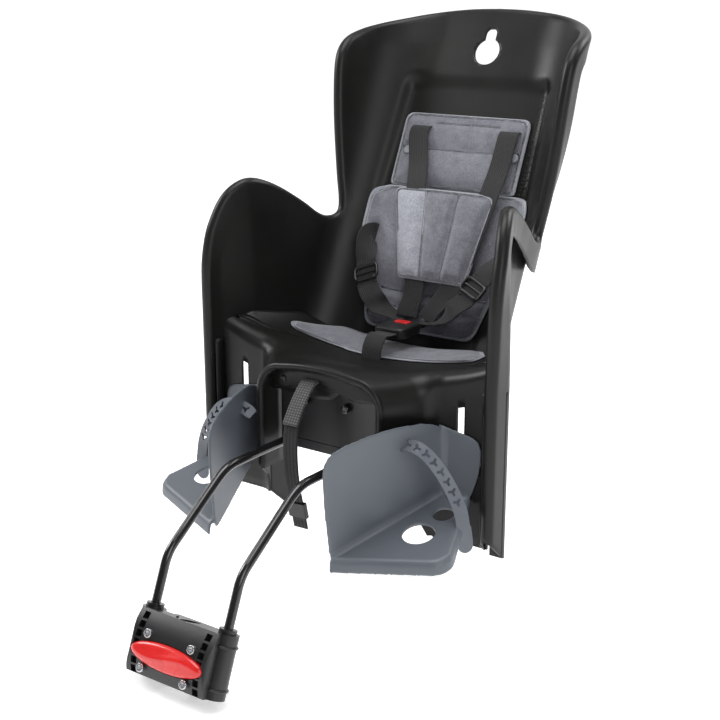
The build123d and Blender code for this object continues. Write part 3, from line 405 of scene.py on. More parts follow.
def round_corner(a, b, c, radius, steps, most=math.inf):
    """Points of the rounded corner at b, which takes at most a share of each side."""
    da, dc = unit(a - b), unit(c - b)
    half_angle = math.acos(float(np.clip(da @ dc, -1, 1))) / 2
    reach = min(radius / math.tan(half_angle), most * np.linalg.norm(a - b), most * np.linalg.norm(c - b))
    p0, p1 = b + da * reach, b + dc * reach
    return [(1 - t) ** 2 * p0 + 2 * t * (1 - t) * b + t * t * p1 for t in np.linspace(0, 1, steps)]


def rounded_path(points, radii, count):
    """Open polyline with rounded corners, evenly sampled."""
    pts = [np.array(p, float) for p in points]
    out = [pts[0]]
    for k, radius in enumerate(radii):
        out += round_corner(*pts[k : k + 3], radius, 14)
    return spread(out + [pts[-1]], count)


def closed_outline(corners, radii):
    """Rounded closed outline and the place of each corner's middle on it."""
    pts = [np.array(p, float) for p in corners]
    steps = 13
    out = []
    for k, b in enumerate(pts):
        out += round_corner(pts[k - 1], b, pts[(k + 1) % len(pts)], radii[k], steps, 0.48)
    return np.array(out), [k * steps + steps // 2 for k in range(len(pts))]


def distance_to(points, line, closed=False):
    """Distance of each point of the plane from a polyline."""
    line = np.asarray(line, float)
    if closed:
        line = np.vstack([line, line[:1]])
    best = np.full(len(points), 1e9)
    for a, b in zip(line[:-1], line[1:]):
        ab = b - a
        t = np.clip(((points - a) @ ab) / max(float(ab @ ab), 1e-9), 0, 1)
        best = np.minimum(best, np.linalg.norm(points - a - t[:, None] * ab, axis=1))
    return best


# Bucket shell in millimetres: a leaning back, leaning sides and a rolled rim

BACK_LEAN = math.radians(25.6)
UP = np.array([0, math.sin(BACK_LEAN), math.cos(BACK_LEAN)])
OUT = np.array([0, -math.cos(BACK_LEAN), math.sin(BACK_LEAN)])
FOOT_OF_BACK = np.array([0, 478.0, 262.0])
BACK_FACE = 2.2
WALL = 3.2
# Depth, inner half-width at the middle height, and the growth of that half-width with height
SIDE_WALL = np.array((
    (280, 213.5, 0.01), (304, 211, 0.015), (317, 207.3, 0.018), (327, 202.8, 0.02), (341, 196.5, 0.025),
    (362, 187, 0.03), (390, 178, 0.045), (416, 171, 0.06), (450, 164, 0.075), (492, 157.5, 0.085),
    (526, 151.5, 0.09), (560, 146.5, 0.095), (620, 139, 0.1), (720, 128, 0.1),
))
SIDE_MIDDLE = 400.0
CORNER_LEVELS = (420, 640)
CORNER_RADII = (56, 90)
WALL_FRONT = 285.0
MIDDLE_STEPS, CORNER_STEPS, WALL_STEPS = 20, 40, 90
ROUND_PART = MIDDLE_STEPS + CORNER_STEPS


def on_back(x, up, out):
    return FOOT_OF_BACK + np.array([x, 0, 0]) + UP * up + OUT * out


def back_y(z):
    return FOOT_OF_BACK[1] - BACK_FACE + (z - FOOT_OF_BACK[2]) * math.tan(BACK_LEAN)


def side_x(y, z):
    """Inner half-width of the bucket at a depth and height, before the back corner."""
    depth, half, growth = SIDE_WALL.T
    return np.interp(y, depth, half) + np.interp(y, depth, growth) * (z - SIDE_MIDDLE)


def section(z):
    """Half-section at a height: length from the middle of the back, x and y."""
    radius = np.interp(z, CORNER_LEVELS, CORNER_RADII)
    yb = back_y(z)
    corner = radius * (1 - np.cos(np.linspace(0, math.pi / 2, CORNER_STEPS)))
    d = np.concatenate([corner, np.linspace(radius, yb - WALL_FRONT, WALL_STEPS)[1:]])
    y = yb - d
    v = np.clip(1 - d / radius, 0, 1)
    x = side_x(y, z) - radius * (1 - np.sqrt(1 - v * v))
    x = np.concatenate([np.linspace(0, x[0], MIDDLE_STEPS)[:-1], x])
    y = np.concatenate([np.full(MIDDLE_STEPS - 1, yb), y])
    s = np.concatenate([[0], np.cumsum(np.hypot(np.diff(x), np.diff(y)))])
    return s, x, y


LEVELS = np.linspace(235, 700, 156)
SECTIONS = [section(z) for z in LEVELS]


def bucket_point(s, z):
    """Point of the inner surface at a section length and height."""
    level = np.clip((z - LEVELS[0]) / (LEVELS[1] - LEVELS[0]), 0, len(LEVELS) - 1.001)
    low = int(level)
    part = level - low
    out = []
    for k in (low, low + 1):
        ss, xs, ys = SECTIONS[k]
        out.append(np.array([np.interp(s, ss, xs), np.interp(s, ss, ys)]))
    x, y = out[0] * (1 - part) + out[1] * part
    return np.array([x, y, z])


def length_at_depth(z, y):
    ss, _, ys = section(z)
    return float(np.interp(-y, -ys[MIDDLE_STEPS - 1 :], ss[MIDDLE_STEPS - 1 :]))


def length_at_width(z, x):
    ss, xs, _ = section(z)
    return float(np.interp(x, xs[:ROUND_PART], ss[:ROUND_PART]))


# Crest of the rim: depth and height up the arm and the side of the back, then half-width and height
RIM_SIDE = (
    (304, 262), (304, 285), (304, 310), (304, 340), (305, 368), (309, 394), (316, 416), (327, 440),
    (342, 457), (362, 465.5), (386, 461), (416, 447), (450, 426), (474, 409), (492, 401), (507, 402),
    (518, 411), (524.5, 430), (529, 461), (534, 500), (539, 545), (544, 585), (549, 612), (556, 629),
    (571, 643), (596, 653), (624, 661),
)
RIM_TOP = ((128, 668.5), (105, 674), (75, 678.5), (38, 681.5), (0, 682.5))
HALF = 184
ROLL = 8.5
LIP_PLACES = (0, 0.12, 0.24, 0.4, 0.47, 0.56, 0.8, 1)
LIP_WIDTHS = (28, 28, 26, 27, 32, 25, 22, 18)
STEP = 4.6
FOOT_LEVEL = 240.0
ROW_STEP = STEP * 0.866
CLEARANCE = STEP * 0.45
FIELD_TOP, FIELD_MARGIN = 690.0, 40
FOOT_POINTS, MIDDLE_POINTS = 70, 90
RIM_FRONT = 304
FRONT_LEVEL = 256
# Shares of the rim's length: the leg at its start, and where the rounding over the back begins
LEG_SHARE = 0.16
TOP_START = 0.86
TOP_OUTWARD = unit((0, 1.0, -0.45))
CREST_HINT = np.array([0, -1.0, 0.2])
NORMAL_BLUR, CREST_BLUR = 6, 4
ALONG_STEP, UP_STEP = 2, 3
ROLL_STEPS, LIP_STEPS = 15, 7
LEG_STEPS = 24
LEG_FOOT, LEG_FRONT, LEG_SLOPE = 75, 300, 0.867
rim_stations = [(length_at_depth(z, y), z) for y, z in RIM_SIDE]
rim_stations += [(length_at_width(z, x), z) for x, z in RIM_TOP]
rim_curve = catmull(rim_stations, HALF)
along_rim = np.linspace(0, 1, HALF)
# Half-widths of the recessed panel at heights up the back
RECESS_HALF = (100, 124, 117)
RECESS_UP = (1, 200, 377)
RECESS_DEPTH = 3.0
RECESS_ROUND = 26
RECESS_SLOPE = 15.0
RECESS_TOP_EASE = 0.55
RECESS_FOOT_REACH = 30


def leg_foot(y):
    return LEG_FOOT - (y - LEG_FRONT) * LEG_SLOPE


def roll_foot(y):
    """Lower end of the leg's roll, a little shorter at the back."""
    return leg_foot(y) + 10 * smooth((y - 330) / 20.0)


def recess_mask(p):
    """How far a point of the back lies inside the recessed panel, from 0 to 1."""
    up = (p - FOOT_OF_BACK) @ UP
    half = np.interp(up, RECESS_UP, RECESS_HALF)
    top = RECESS_UP[-1]
    over_x = abs(p[0]) - (half - RECESS_ROUND)
    over_up = up - (top - RECESS_ROUND)
    inside = min(half - abs(p[0]), (top - up) * RECESS_TOP_EASE, up - RECESS_UP[0] + RECESS_FOOT_REACH)
    if over_x > 0 and over_up > 0:
        inside = min(inside, RECESS_ROUND - math.hypot(over_x, over_up))
    return float(smooth(inside / RECESS_SLOPE))


def filled_outline():
    """Triangles over half of the unrolled inner surface, and the numbers of its rim points."""
    front = length_at_depth(FRONT_LEVEL, RIM_FRONT)
    foot_line = [(v, FOOT_LEVEL) for v in np.linspace(0, front, FOOT_POINTS)]
    middle_line = [(0.0, z) for z in np.linspace(rim_curve[-1, 1], FOOT_LEVEL, MIDDLE_POINTS)[1:-1]]
    border = foot_line + [tuple(p) for p in rim_curve] + middle_line
    edges = [(k, (k + 1) % len(border)) for k in range(len(border))]
    fence = np.array(border)
    field = []
    for row, z in enumerate(np.arange(FOOT_LEVEL + STEP, FIELD_TOP, ROW_STEP)):
        first = STEP / 2 if row % 2 else STEP
        field += [(v, z) for v in np.arange(first, front + FIELD_MARGIN, STEP)]
    field = np.array(field)
    inside = np.zeros(len(field), bool)
    for (x0, y0), (x1, y1) in zip(fence, np.roll(fence, -1, axis=0)):
        crossing = (y0 > field[:, 1]) != (y1 > field[:, 1])
        inside ^= crossing & (field[:, 0] < (x1 - x0) * (field[:, 1] - y0) / (y1 - y0 + 1e-12) + x0)
    clear = distance_to(field, fence, True) > CLEARANCE
    spots = [Vector(p) for p in border] + [Vector(p) for p in field[inside & clear]]
    flat, _, triangles, origin, _, _ = geometry.delaunay_2d_cdt(spots, edges, [], 1, 1e-4)
    place_of = {source: k for k, sources in enumerate(origin) for source in sources}
    return flat, triangles, [place_of[len(foot_line) + k] for k in range(HALF)]


def blurred(ways, rounds):
    for _ in range(rounds):
        ways[1:-1] = unit(ways[:-2] + 2 * ways[1:-1] + ways[2:])
    return ways


def rim_frames(rim):
    """Outward and crest directions along the rim."""
    normal = np.zeros_like(rim)
    for c, (s, z) in enumerate(rim_curve):
        ds = bucket_point(s + ALONG_STEP, z) - bucket_point(max(s - ALONG_STEP, 0), z)
        dz = bucket_point(s, z + UP_STEP) - bucket_point(s, z - UP_STEP)
        normal[c] = np.cross(ds, dz)
    normal = unit(normal)
    middle = HALF // 2
    if normal[middle] @ X_WAY < 0:
        normal = -normal
    normal = blurred(normal, NORMAL_BLUR)
    leg_part = np.clip(1 - along_rim / LEG_SHARE, 0, 1)[:, None]
    normal = unit(normal * (1 - leg_part) + X_WAY * leg_part)
    top_part = smooth((along_rim - TOP_START) / (1 - TOP_START))[:, None]
    normal = unit(normal * (1 - top_part) + TOP_OUTWARD * top_part)
    crest = np.cross(normal, unit(np.gradient(rim, axis=0)))
    if crest[middle] @ CREST_HINT < 0:
        crest = -crest
    crest = blurred(unit(crest), CREST_BLUR)
    # The two halves of the rim meet in the middle plane
    crest[-1, 0] = 0
    crest[-1] = unit(crest[-1])
    return normal, crest


def build_bucket():
    flat, triangles, on_rim = filled_outline()
    surf = np.array([bucket_point(*p) for p in flat])
    rim = surf[on_rim].copy()
    normal, crest = rim_frames(rim)
    for k, p in enumerate(surf):
        surf[k] = p + OUT * (-RECESS_DEPTH - (p - FOOT_OF_BACK) @ OUT) * recess_mask(p)
    lip = np.interp(along_rim, LIP_PLACES, LIP_WIDTHS)
    rolled = []
    for theta in np.linspace(0, math.pi, ROLL_STEPS)[1:]:
        rolled.append(rim + normal * ROLL * (1 - math.cos(theta)) + crest * ROLL * math.sin(theta))
    for part in np.linspace(0, 1, LIP_STEPS)[1:]:
        rolled.append(rim + normal * 2 * ROLL - crest * (lip * part)[:, None])
    rolled = np.array(rolled)
    verts = list(surf)
    columns = []
    # The roll goes on down the front of the leg
    for k in range(LEG_STEPS, 0, -1):
        column = np.vstack([rim[:1], rolled[:, 0]])
        column[:, 2] += (roll_foot(column[:, 1]) - column[:, 2]) * k / LEG_STEPS
        columns.append(list(range(len(verts), len(verts) + len(column))))
        verts.extend(column)
    for c in range(HALF):
        columns.append([on_rim[c]] + list(range(len(verts), len(verts) + len(rolled))))
        verts.extend(rolled[:, c])
    faces = [tuple(f) for f in triangles]
    for a, b in zip(columns[:-1], columns[1:]):
        faces += [(a[k], b[k], b[k + 1], a[k + 1]) for k in range(len(a) - 1)]
    half = np.array(verts)
    other_half = [tuple(reversed(f)) for f in faces]
    return joined(((half, faces), (half * (-1, 1, 1), other_half)))


bucket = solidified("bucket", *build_bucket(), SHELL, "seat", "shell_black", WALL)
apply_modifiers(bucket)
KEYHOLE_UP = 408
KEYHOLE, NECK, NECK_UP = 19, 8.5, 25.5
CUT_THROUGH = 120
DOTS_LEFT, DOTS_RIGHT = 97, 121
DOTS_LEAN, DOTS_LEAN_FROM = 0.02, 200
DOTS_UP = (190, 352)
DOTS_OUT = (-4, 5)
start = math.asin(NECK / KEYHOLE)
keyhole = [(KEYHOLE * math.sin(a), KEYHOLE * math.cos(a)) for a in np.linspace(start, FULL_TURN - start, 56)]
keyhole += [(NECK * math.cos(a), NECK_UP + NECK * math.sin(a)) for a in np.linspace(math.pi, 0, 24)]
cut(bucket, [prism(keyhole, on_back(0, KEYHOLE_UP, 0), X_WAY, UP, CUT_THROUGH)])
# Dotted strip between the upper pad and the edge of the recess
bucket.data.materials.append(DOTTED)
for face in bucket.data.polygons:
    spot = np.array(face.center) / MM
    up, out = (spot - FOOT_OF_BACK) @ UP, (spot - FOOT_OF_BACK) @ OUT
    beside_pad = DOTS_LEFT + (up - DOTS_LEAN_FROM) * DOTS_LEAN < spot[0] < DOTS_RIGHT
    if beside_pad and DOTS_UP[0] < up < DOTS_UP[1] and DOTS_OUT[0] < out < DOTS_OUT[1]:
        face.material_index = 1
bucket.data.shade_smooth()
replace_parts(bucket, "seat_shell")


# Seat pan, pedestal tunnel and leg panels

PAN_REAR = 480.0
PAN_REAR_LEVEL = 246.0
PAN_SLOPE = 0.081
PAN_HOLLOW = 640.0
PAN_REACH = 300.0
PAN_LEVEL = 275.0
NEAR_WALL = 34.0
WALL_RISE = 14.0
RISE_FROM, RISE_LENGTH = 330.0, 30.0
CROWN_LEVEL = 273.0
CROWN_DROP, CROWN_HALF = 6.0, 62.0
CROWN_FROM, CROWN_LENGTH = 336.0, 78.0
TUB_FROM, TUB_TO, TUB_REAR, TUB_END = 336, 470, 476.0, 476.5
TUB_BEND_FROM, TUB_BEND_LENGTH, TUB_BEND = 425, 45.0, 52
TUB_REAR_HALF = 86
TUB_STEPS, TUB_REAR_STEPS, PAN_COLUMNS = 44, 12, 44
PEDESTAL_FRONT = 258.0
CONTOUR = 74
FILLET = 12
DROP = 16
PANEL_FRONT = 318
VALLEY_X = 131
PEDESTAL_HALF, PEDESTAL_CORNER, PANEL_END, VALLEY_ROUND = 97, 129, 209, 26
SLOT_X = (162.5, 173.5)
SLOT_Z = (150, 238)
# Dotted strip of the left panel, between the slot and the pedestal
PANEL_DOTS_X = (-162, -133)
PANEL_DOTS_TOP = 256
BASE_WALL = 3.0
ARCH_ROLL = 5.0
ARCH_DEPTHS = (6, 14, 26, 40)


def pan_top(x, y):
    """Height of the seat: dished at the back, lightly crowned at the front."""
    x = np.asarray(x, float)
    front = smooth((CROWN_FROM - y) / CROWN_LENGTH)
    near_wall = np.clip((np.abs(x) - (side_x(y, PAN_LEVEL) - NEAR_WALL)) / NEAR_WALL, 0, 1.2)
    hollow = PAN_HOLLOW - np.sqrt(PAN_HOLLOW ** 2 - np.minimum(np.abs(x), PAN_REACH) ** 2)
    dish = PAN_REAR_LEVEL + (PAN_REAR - y) * PAN_SLOPE + hollow
    dish = dish + WALL_RISE * near_wall ** 2 * smooth((y - RISE_FROM) / RISE_LENGTH)
    crown = CROWN_LEVEL - CROWN_DROP * (x / CROWN_HALF) ** 2
    return dish * (1 - front) + crown * front


# Foot of the pedestal's side and of the leg panel, seen from above, with its rounded top edge
corners = ((PEDESTAL_HALF, PEDESTAL_FRONT), (PEDESTAL_CORNER, PANEL_FRONT), (PANEL_END, PANEL_FRONT))
contour = rounded_path(corners, (VALLEY_ROUND,), CONTOUR)
valley = int(np.argmin(np.abs(contour[:, 0] - VALLEY_X)))
turn = smooth((np.arange(CONTOUR) - (valley - 14)) / 20.0)
facing = unit(np.stack([1 - turn, -turn], axis=1))
edge_round = np.interp(np.arange(CONTOUR), (0, valley - 8, valley, CONTOUR - 1), (40, 30, 20, 17))
wall_low = np.interp(np.arange(CONTOUR), (0, valley - 10, valley - 2, CONTOUR - 1), (120, 92, 60, 60))
top_edge = contour - facing * edge_round[:, None]


def build_skirt():
    skirt = []
    for i in range(CONTOUR):
        z_top = float(pan_top(*top_edge[i]))
        column = []
        for theta in np.linspace(0, math.pi / 2, FILLET):
            spot = top_edge[i] + facing[i] * edge_round[i] * math.sin(theta)
            column.append((*spot, z_top - edge_round[i] * (1 - math.cos(theta))))
        start = z_top - edge_round[i]
        for part in np.linspace(0, 1, DROP)[1:]:
            column.append((*contour[i], start + (wall_low[i] - start) * part))
        skirt.append(column)
    return np.array(skirt)


def build_pan(skirt):
    """Seat surface: bounded by the skirt's top edge, then by the tub wall to the back."""
    wall = []
    for y in np.linspace(TUB_FROM, TUB_TO, TUB_STEPS):
        bend = TUB_BEND * max(0, (y - TUB_BEND_FROM) / TUB_BEND_LENGTH) ** 2
        wall.append((float(side_x(y, PAN_LEVEL)) - 0.5 - bend, y))
    wall += [(x, TUB_REAR) for x in np.linspace(TUB_REAR_HALF, 0, TUB_REAR_STEPS)]
    bound = np.vstack([top_edge, np.array(wall)])
    n = len(bound)
    ahead = valley - 6
    middle = np.concatenate([top_edge[:ahead, 1], np.linspace(top_edge[ahead, 1], TUB_END, n - ahead)])
    cols = PAN_COLUMNS
    top = np.zeros((n, cols, 3))
    for i in range(n):
        for k in range(cols):
            f = k / (cols - 1)
            x = bound[i, 0] * (1 - f)
            y = bound[i, 1] + (middle[i] - bound[i, 1]) * (1 - (1 - f) ** 2)
            top[i, k] = (x, y, float(pan_top(x, y)))
    top[:CONTOUR, 0] = skirt[:, 0]
    return top


def build_arch_lip(outline):
    """Rolled front edge of the pedestal tunnel with a short inner wall."""
    crown = np.linspace(0, outline[0][0], 44)[:-1]
    top = [(x, PEDESTAL_FRONT, float(pan_top(x, PEDESTAL_FRONT))) for x in crown]
    half = np.array(top + [tuple(p) for p in outline])
    full = np.vstack([half[::-1] * (-1, 1, 1), half[1:]])
    inward = unit(np.cross(unit(np.gradient(full, axis=0)), Y_WAY))
    if inward[len(full) // 2, 2] > 0:
        inward = -inward
    rows = []
    for theta in np.linspace(0, math.pi, 11):
        rows.append(full + inward * ARCH_ROLL * (1 - math.cos(theta)) - Y_WAY * ARCH_ROLL * math.sin(theta))
    for depth in ARCH_DEPTHS:
        rows.append(full + inward * 2 * ARCH_ROLL + Y_WAY * depth)
    grid = np.array(rows)
    return grid.reshape(-1, 3), grid_faces(*grid.shape[:2])


def build_base():
    skirt = build_skirt()
    pan = build_pan(skirt)
    groups = []
    for side, _ in SIDES:
        for grid in (skirt, pan):
            groups.append((grid.reshape(-1, 3) * (side, 1, 1), grid_faces(*grid.shape[:2])))
    verts, faces = joined(groups)
    # Slots of the footrest slides
    kept = []
    for face in faces:
        x, y, z = np.mean([verts[v] for v in face], axis=0)
        if not (SLOT_X[0] < abs(x) < SLOT_X[1] and y < PANEL_FRONT + 1 and SLOT_Z[0] < z < SLOT_Z[1]):
            kept.append(face)
    return joined(((verts, kept), build_arch_lip(skirt[0])))


base = solidified("pan_and_legs", *build_base(), SHELL, "seat", "shell_black", BASE_WALL)
base.data.materials.append(DOTTED)
for face in base.data.polygons:
    x, y, z = np.array(face.center) / MM
    if PANEL_DOTS_X[0] < x < PANEL_DOTS_X[1] and abs(y - PANEL_FRONT - 0.5) < 2.5 and z < PANEL_DOTS_TOP:
        face.material_index = 1


def build_legs():
    """Outer flange, rear return and inner wall of each leg, below the arm's front edge."""
    outer, rounded, rear = 225.9, 9, 328
    flange = [(206.4, 319.0), (207.6, 312.0), (208.9, 304.0)]
    rear_return = [(outer, 324.0), (outer, rear)]
    for theta in np.linspace(0, math.pi / 2, 7)[1:]:
        rear_return.append((outer - rounded * (1 - math.cos(theta)), rear + rounded * math.sin(theta)))
    rear_return += [(212, rear + rounded), (204, rear + rounded)]
    inner = [(VALLEY_X, y) for y in np.linspace(317, 374, 12)]
    rows = 40
    top, inner_top = 263, 255
    walls = ((flange, top, roll_foot), (rear_return, top, roll_foot), (inner, inner_top, leg_foot))
    groups = []
    for side, _ in SIDES:
        for profile, high, foot in walls:
            grid = np.zeros((rows, len(profile), 3))
            for k, (x, y) in enumerate(profile):
                grid[:, k] = [(side * x, y, z) for z in np.linspace(high, foot(y), rows)]
            groups.append((grid.reshape(-1, 3), grid_faces(rows, len(profile))))
    return joined(groups)


solidified("leg_rolls", *build_legs(), SHELL, "seat", "shell_black", BASE_WALL)


# Pads: two sheets joined at a welded border, puffed by a short cloth run

CLOTH = {
    "quality": 5, "mass": 0.2, "tension_stiffness": 12, "compression_stiffness": 12, "bending_stiffness": 0.4,
    "use_pressure": True, "uniform_pressure_force": 4.0, "vertex_group_mass": "held",
}
CLOTH_FRAMES = 20
PUFF_LIMIT = 0.005
SEWN_HEIGHT = 3.4
RIM_HEIGHT = 2.2
REAR_HEIGHT = 0.2
EDGE_EASE, SEAM_EASE = 9.0, 7.0
SEAM_HALF = 1.5
GROOVE = 1.6
FAR = 50.0
BORDER_WELT = (120, 3.1)
SEAM_WELT = (40, 3.8)
WELT_WIDTH, WELT_THICK = 2.2, 1.2
EDGE_FLAT, EDGE_BEND, EDGE_LOW = 2.2, 0.7, 0.4
BACK_GAP, SEAT_GAP = 0.8, 0.3
CHEST_OUT, CHEST_FOLD = 20.0, 3.0
CHEST_MIDDLE, CHEST_FLAT, CHEST_EASE = 10, 25, 40.0


def patch(outline, marks, nu, nv):
    """Grid of points that fills an outline, from its four marked corners."""
    sides = []
    for k in range(4):
        start, end = marks[k], marks[(k + 1) % 4]
        run = outline[start : end + 1] if end > start else np.vstack([outline[start:], outline[: end + 1]])
        sides.append(spread(run, nu if k % 2 == 0 else nv))
    low, right, top, left = sides[0], sides[1], sides[2][::-1], sides[3][::-1]
    u = np.linspace(0, 1, nu)[None, :, None]
    v = np.linspace(0, 1, nv)[:, None, None]
    flat = (1 - v) * low[None] + v * top[None] + (1 - u) * left[:, None] + u * right[:, None]
    low_corners = (1 - u) * (1 - v) * low[0] + u * (1 - v) * low[-1]
    top_corners = (1 - u) * v * top[0] + u * v * top[-1]
    return flat - (low_corners + top_corners)


def puff(obj, pinned):
    """Cloth run under light pressure, its movement held within a limit."""
    rest = np.array([v.co for v in obj.data.vertices])
    group = obj.vertex_groups.new(name="held")
    group.add([int(k) for k in np.nonzero(pinned)[0]], 1.0, "REPLACE")
    cloth = obj.modifiers.new("cloth", "CLOTH")
    for key, value in CLOTH.items():
        setattr(cloth.settings, key, value)
    cloth.settings.effector_weights.gravity = 0.0
    cloth.point_cache.frame_start = 1
    cloth.point_cache.frame_end = CLOTH_FRAMES
    scene = bpy.context.scene
    for step in range(1, CLOTH_FRAMES + 1):
        scene.frame_set(step)
    graph = bpy.context.evaluated_depsgraph_get()
    moved = np.array([v.co for v in obj.evaluated_get(graph).data.vertices])
    obj.modifiers.remove(cloth)
    scene.frame_set(1)
    shift = moved - rest
    size = np.linalg.norm(shift, axis=1, keepdims=True)
    shift *= np.minimum(1, PUFF_LIMIT / np.maximum(size, 1e-9))
    for v, p in zip(obj.data.vertices, rest + shift):
        v.co = p
    obj.vertex_groups.clear()


def ribbon(name, points, across, width, thick, mat, count):
    """Flat strip with soft edges along a smooth path, its side turned to the given directions."""
    path = catmull(points, count)
    knots = path_lengths(np.asarray(points, float))
    ways = at_lengths(np.linspace(0, 1, count), knots / knots[-1], np.asarray(across, float))
    tangent = unit(np.gradient(path, axis=0))
    side = unit(ways - tangent * np.sum(ways * tangent, axis=1, keepdims=True))
    normal = np.cross(tangent, side)
    half, h = width / 2, thick / 2
    under = [(-half, -EDGE_LOW * h), (-half + EDGE_BEND, -h)]
    under += [(x, -h) for x in np.linspace(-half + EDGE_FLAT, half - EDGE_FLAT, 5)]
    under += [(half - EDGE_BEND, -h), (half, -EDGE_LOW * h)]
    profile = under + [(-a, -b) for a, b in under]
    grid = np.array([[p + s * a + n * b for a, b in profile] for p, s, n in zip(path, side, normal)])
    cols = len(profile)
    faces = grid_faces(count, cols, True)
    faces.append(tuple(range(cols)))
    faces.append(tuple((count - 1) * cols + k for k in reversed(range(cols))))
    obj = mesh_object(name, grid.reshape(-1, 3) * MM, faces, mat, "seat")
    run = path_lengths(path)
    layer = obj.data.uv_layers.new(name="strap")
    for loop in obj.data.loops:
        row, col = divmod(loop.vertex_index, cols)
        layer.data[loop.index].uv = (profile[col][0] * MM, run[row] * MM)
    turn_outward(obj)
    return obj


def pad(name, stands_for, corners, radii, marks, size, place, edge, rise, seams=(), slits=()):
    """One fleece pad: welded border, sewn channels, rounded edge, puffed fields."""
    nu, nv = size
    outline, mids = closed_outline(corners, radii)
    flat = patch(outline, [mids[k] for k in marks], nu, nv).reshape(-1, 2)
    n = len(flat)
    from_edge = distance_to(flat, outline, True)
    from_seam = np.full(n, 1e9)
    for line in (*seams, *slits):
        from_seam = np.minimum(from_seam, distance_to(flat, line))
    field = smooth((from_edge - edge) / EDGE_EASE) * smooth((from_seam - SEAM_HALF) / SEAM_EASE)
    height = SEWN_HEIGHT + (rise - SEWN_HEIGHT) * field - np.exp(-((from_edge - edge) / GROOVE) ** 2)
    height = np.where(from_edge < 0.8, RIM_HEIGHT, height)
    front = [place(*p, h) for p, h in zip(flat, height)]
    rear = [place(*p, REAR_HEIGHT) for p in flat]
    sheet = grid_faces(nv, nu)
    faces = sheet + [tuple(n + v for v in reversed(f)) for f in sheet]
    ring = grid_border(nv, nu)
    faces += [(b, a, n + a, n + b) for a, b in zip(ring, ring[1:] + ring[:1])]
    obj = mesh_object(name, np.array(front + rear) * MM, faces, PAD, "seat")
    obj.data.materials.append(PAD_EDGE)
    for k, face in enumerate(obj.data.polygons):
        spots = [v % n for v in face.vertices]
        to_edge = np.mean(np.minimum(from_edge[spots], FAR))
        to_seam = np.mean(np.minimum(from_seam[spots], FAR))
        if k >= 2 * len(sheet) or to_edge < edge - 0.6 or to_seam < SEAM_HALF + 0.3:
            face.material_index = 1
    puff(obj, np.concatenate([field < 0.02, np.ones(n, bool)]))
    turn_outward(obj)
    mod = obj.modifiers.new("round", "SUBSURF")
    mod.levels = 1
    mod.render_levels = 1
    apply_modifiers(obj)
    obj.data.shade_smooth()
    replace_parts(obj, stands_for)
    inner = outline + unit(np.mean(outline, axis=0) - outline) * edge
    welts = [(np.vstack([inner, inner[:1]]), *BORDER_WELT)] + [(seam, *SEAM_WELT) for seam in seams]
    for k, (line, count, high) in enumerate(welts):
        line = spread(line, count)
        run = [place(x, up, high) for x, up in line]
        way = unit(np.gradient(line, axis=0))
        across = [place(x - b, up + a, high) - p for (x, up), (a, b), p in zip(line, way, run)]
        ribbon(f"{name}_seam_{k}", run, across, WELT_WIDTH, WELT_THICK, PAD_EDGE, count)
    return obj


def panel_depth(x, up):
    """Depth of the moulded back under a point of the pads."""
    z = FOOT_OF_BACK[2] + UP[2] * up
    _, xs, ys = section(z)
    spot = np.array([x, np.interp(abs(x), xs[:ROUND_PART], ys[:ROUND_PART]), z])
    inside = recess_mask(spot)
    return ((spot - FOOT_OF_BACK) @ OUT) * (1 - inside) - RECESS_DEPTH * inside


def on_panel(x, up, h):
    """Place on the recessed back, curling forward with the corners of the bucket."""
    return on_back(x, up, panel_depth(x, up) + BACK_GAP + h)


def on_seat(x, y, h):
    return np.array([x, y, float(pan_top(x, y)) + SEAT_GAP + h])


def before_chest(x, up, h):
    """Place on the chest pad, which bends back towards both its sides."""
    fold = CHEST_FOLD * smooth((abs(x - CHEST_MIDDLE) - CHEST_FLAT) / CHEST_EASE)
    return on_back(x, up, CHEST_OUT + h - fold)


pad(
    "upper_pad", "upper_back_pad", ((-104, 207), (96, 207), (95, 315), (-105, 315)), (6, 6, 14, 14),
    (0, 1, 2, 3), (46, 26), on_panel, 6.0, 6.5,
    seams=(((-97, 264), (-4, 262), (89, 264)), ((-52, 301), (-4, 300.5), (50, 301))),
)
pad(
    "lower_pad", "lower_back_pad", ((-86, 3), (86, 3), (126, 138), (128, 207), (-125, 207), (-124, 138)),
    (20, 20, 60, 30, 30, 60), (0, 1, 3, 4), (54, 46), on_panel, 6.0, 6.5,
    seams=(((-97, 60), (0, 56), (97, 60)), ((-92, 38), (0, 34), (92, 38))),
    slits=(((-103, 147), (-103, 117)), ((103, 147), (103, 117))),
)
pad(
    "sitting_pad", "seat_pad",
    ((-160, 391), (-54, 385), (-48, 381), (0, 381), (160, 391), (112, 470), (-112, 470)),
    (14, 8, 8, 40, 16, 24, 24), (0, 4, 5, 6), (64, 22), on_seat, 6.0, 7.0, slits=(((0, 366), (0, 378)),),
)
CHEST_SEAM = ((-26, 196), (-15, 136), (-4, 76))
harness = pad(
    "harness_pad", "chest_pad", ((-39, 72), (67, 72), (81, 200), (-81, 200)), (8, 8, 10, 10),
    (0, 1, 2, 3), (36, 32), before_chest, 4.5, 8.0,
    seams=(CHEST_SEAM, ((26, 196), (27, 136), (28, 76))),
)
# Painted highlight: the fold left of the first seam catches more light, so its faces take a paler copy of the
# fleece
harness.data.materials.append(PAD_LIT_FOLD)
(fold_x, fold_up), _, (fold_foot_x, fold_foot_up) = CHEST_SEAM
fold_slope = (fold_foot_x - fold_x) / (fold_up - fold_foot_up)
for face in harness.data.polygons:
    spot = np.array(face.center) / MM
    up = (spot - FOOT_OF_BACK) @ UP
    if face.material_index == 0 and spot[0] < fold_x + (fold_up - up) * fold_slope:
        face.material_index = 2


# Webbing

FLAT = (1.0, 0, 0)
WIDE, THIN = 30, 1.8
STRAP_SLOT = 70
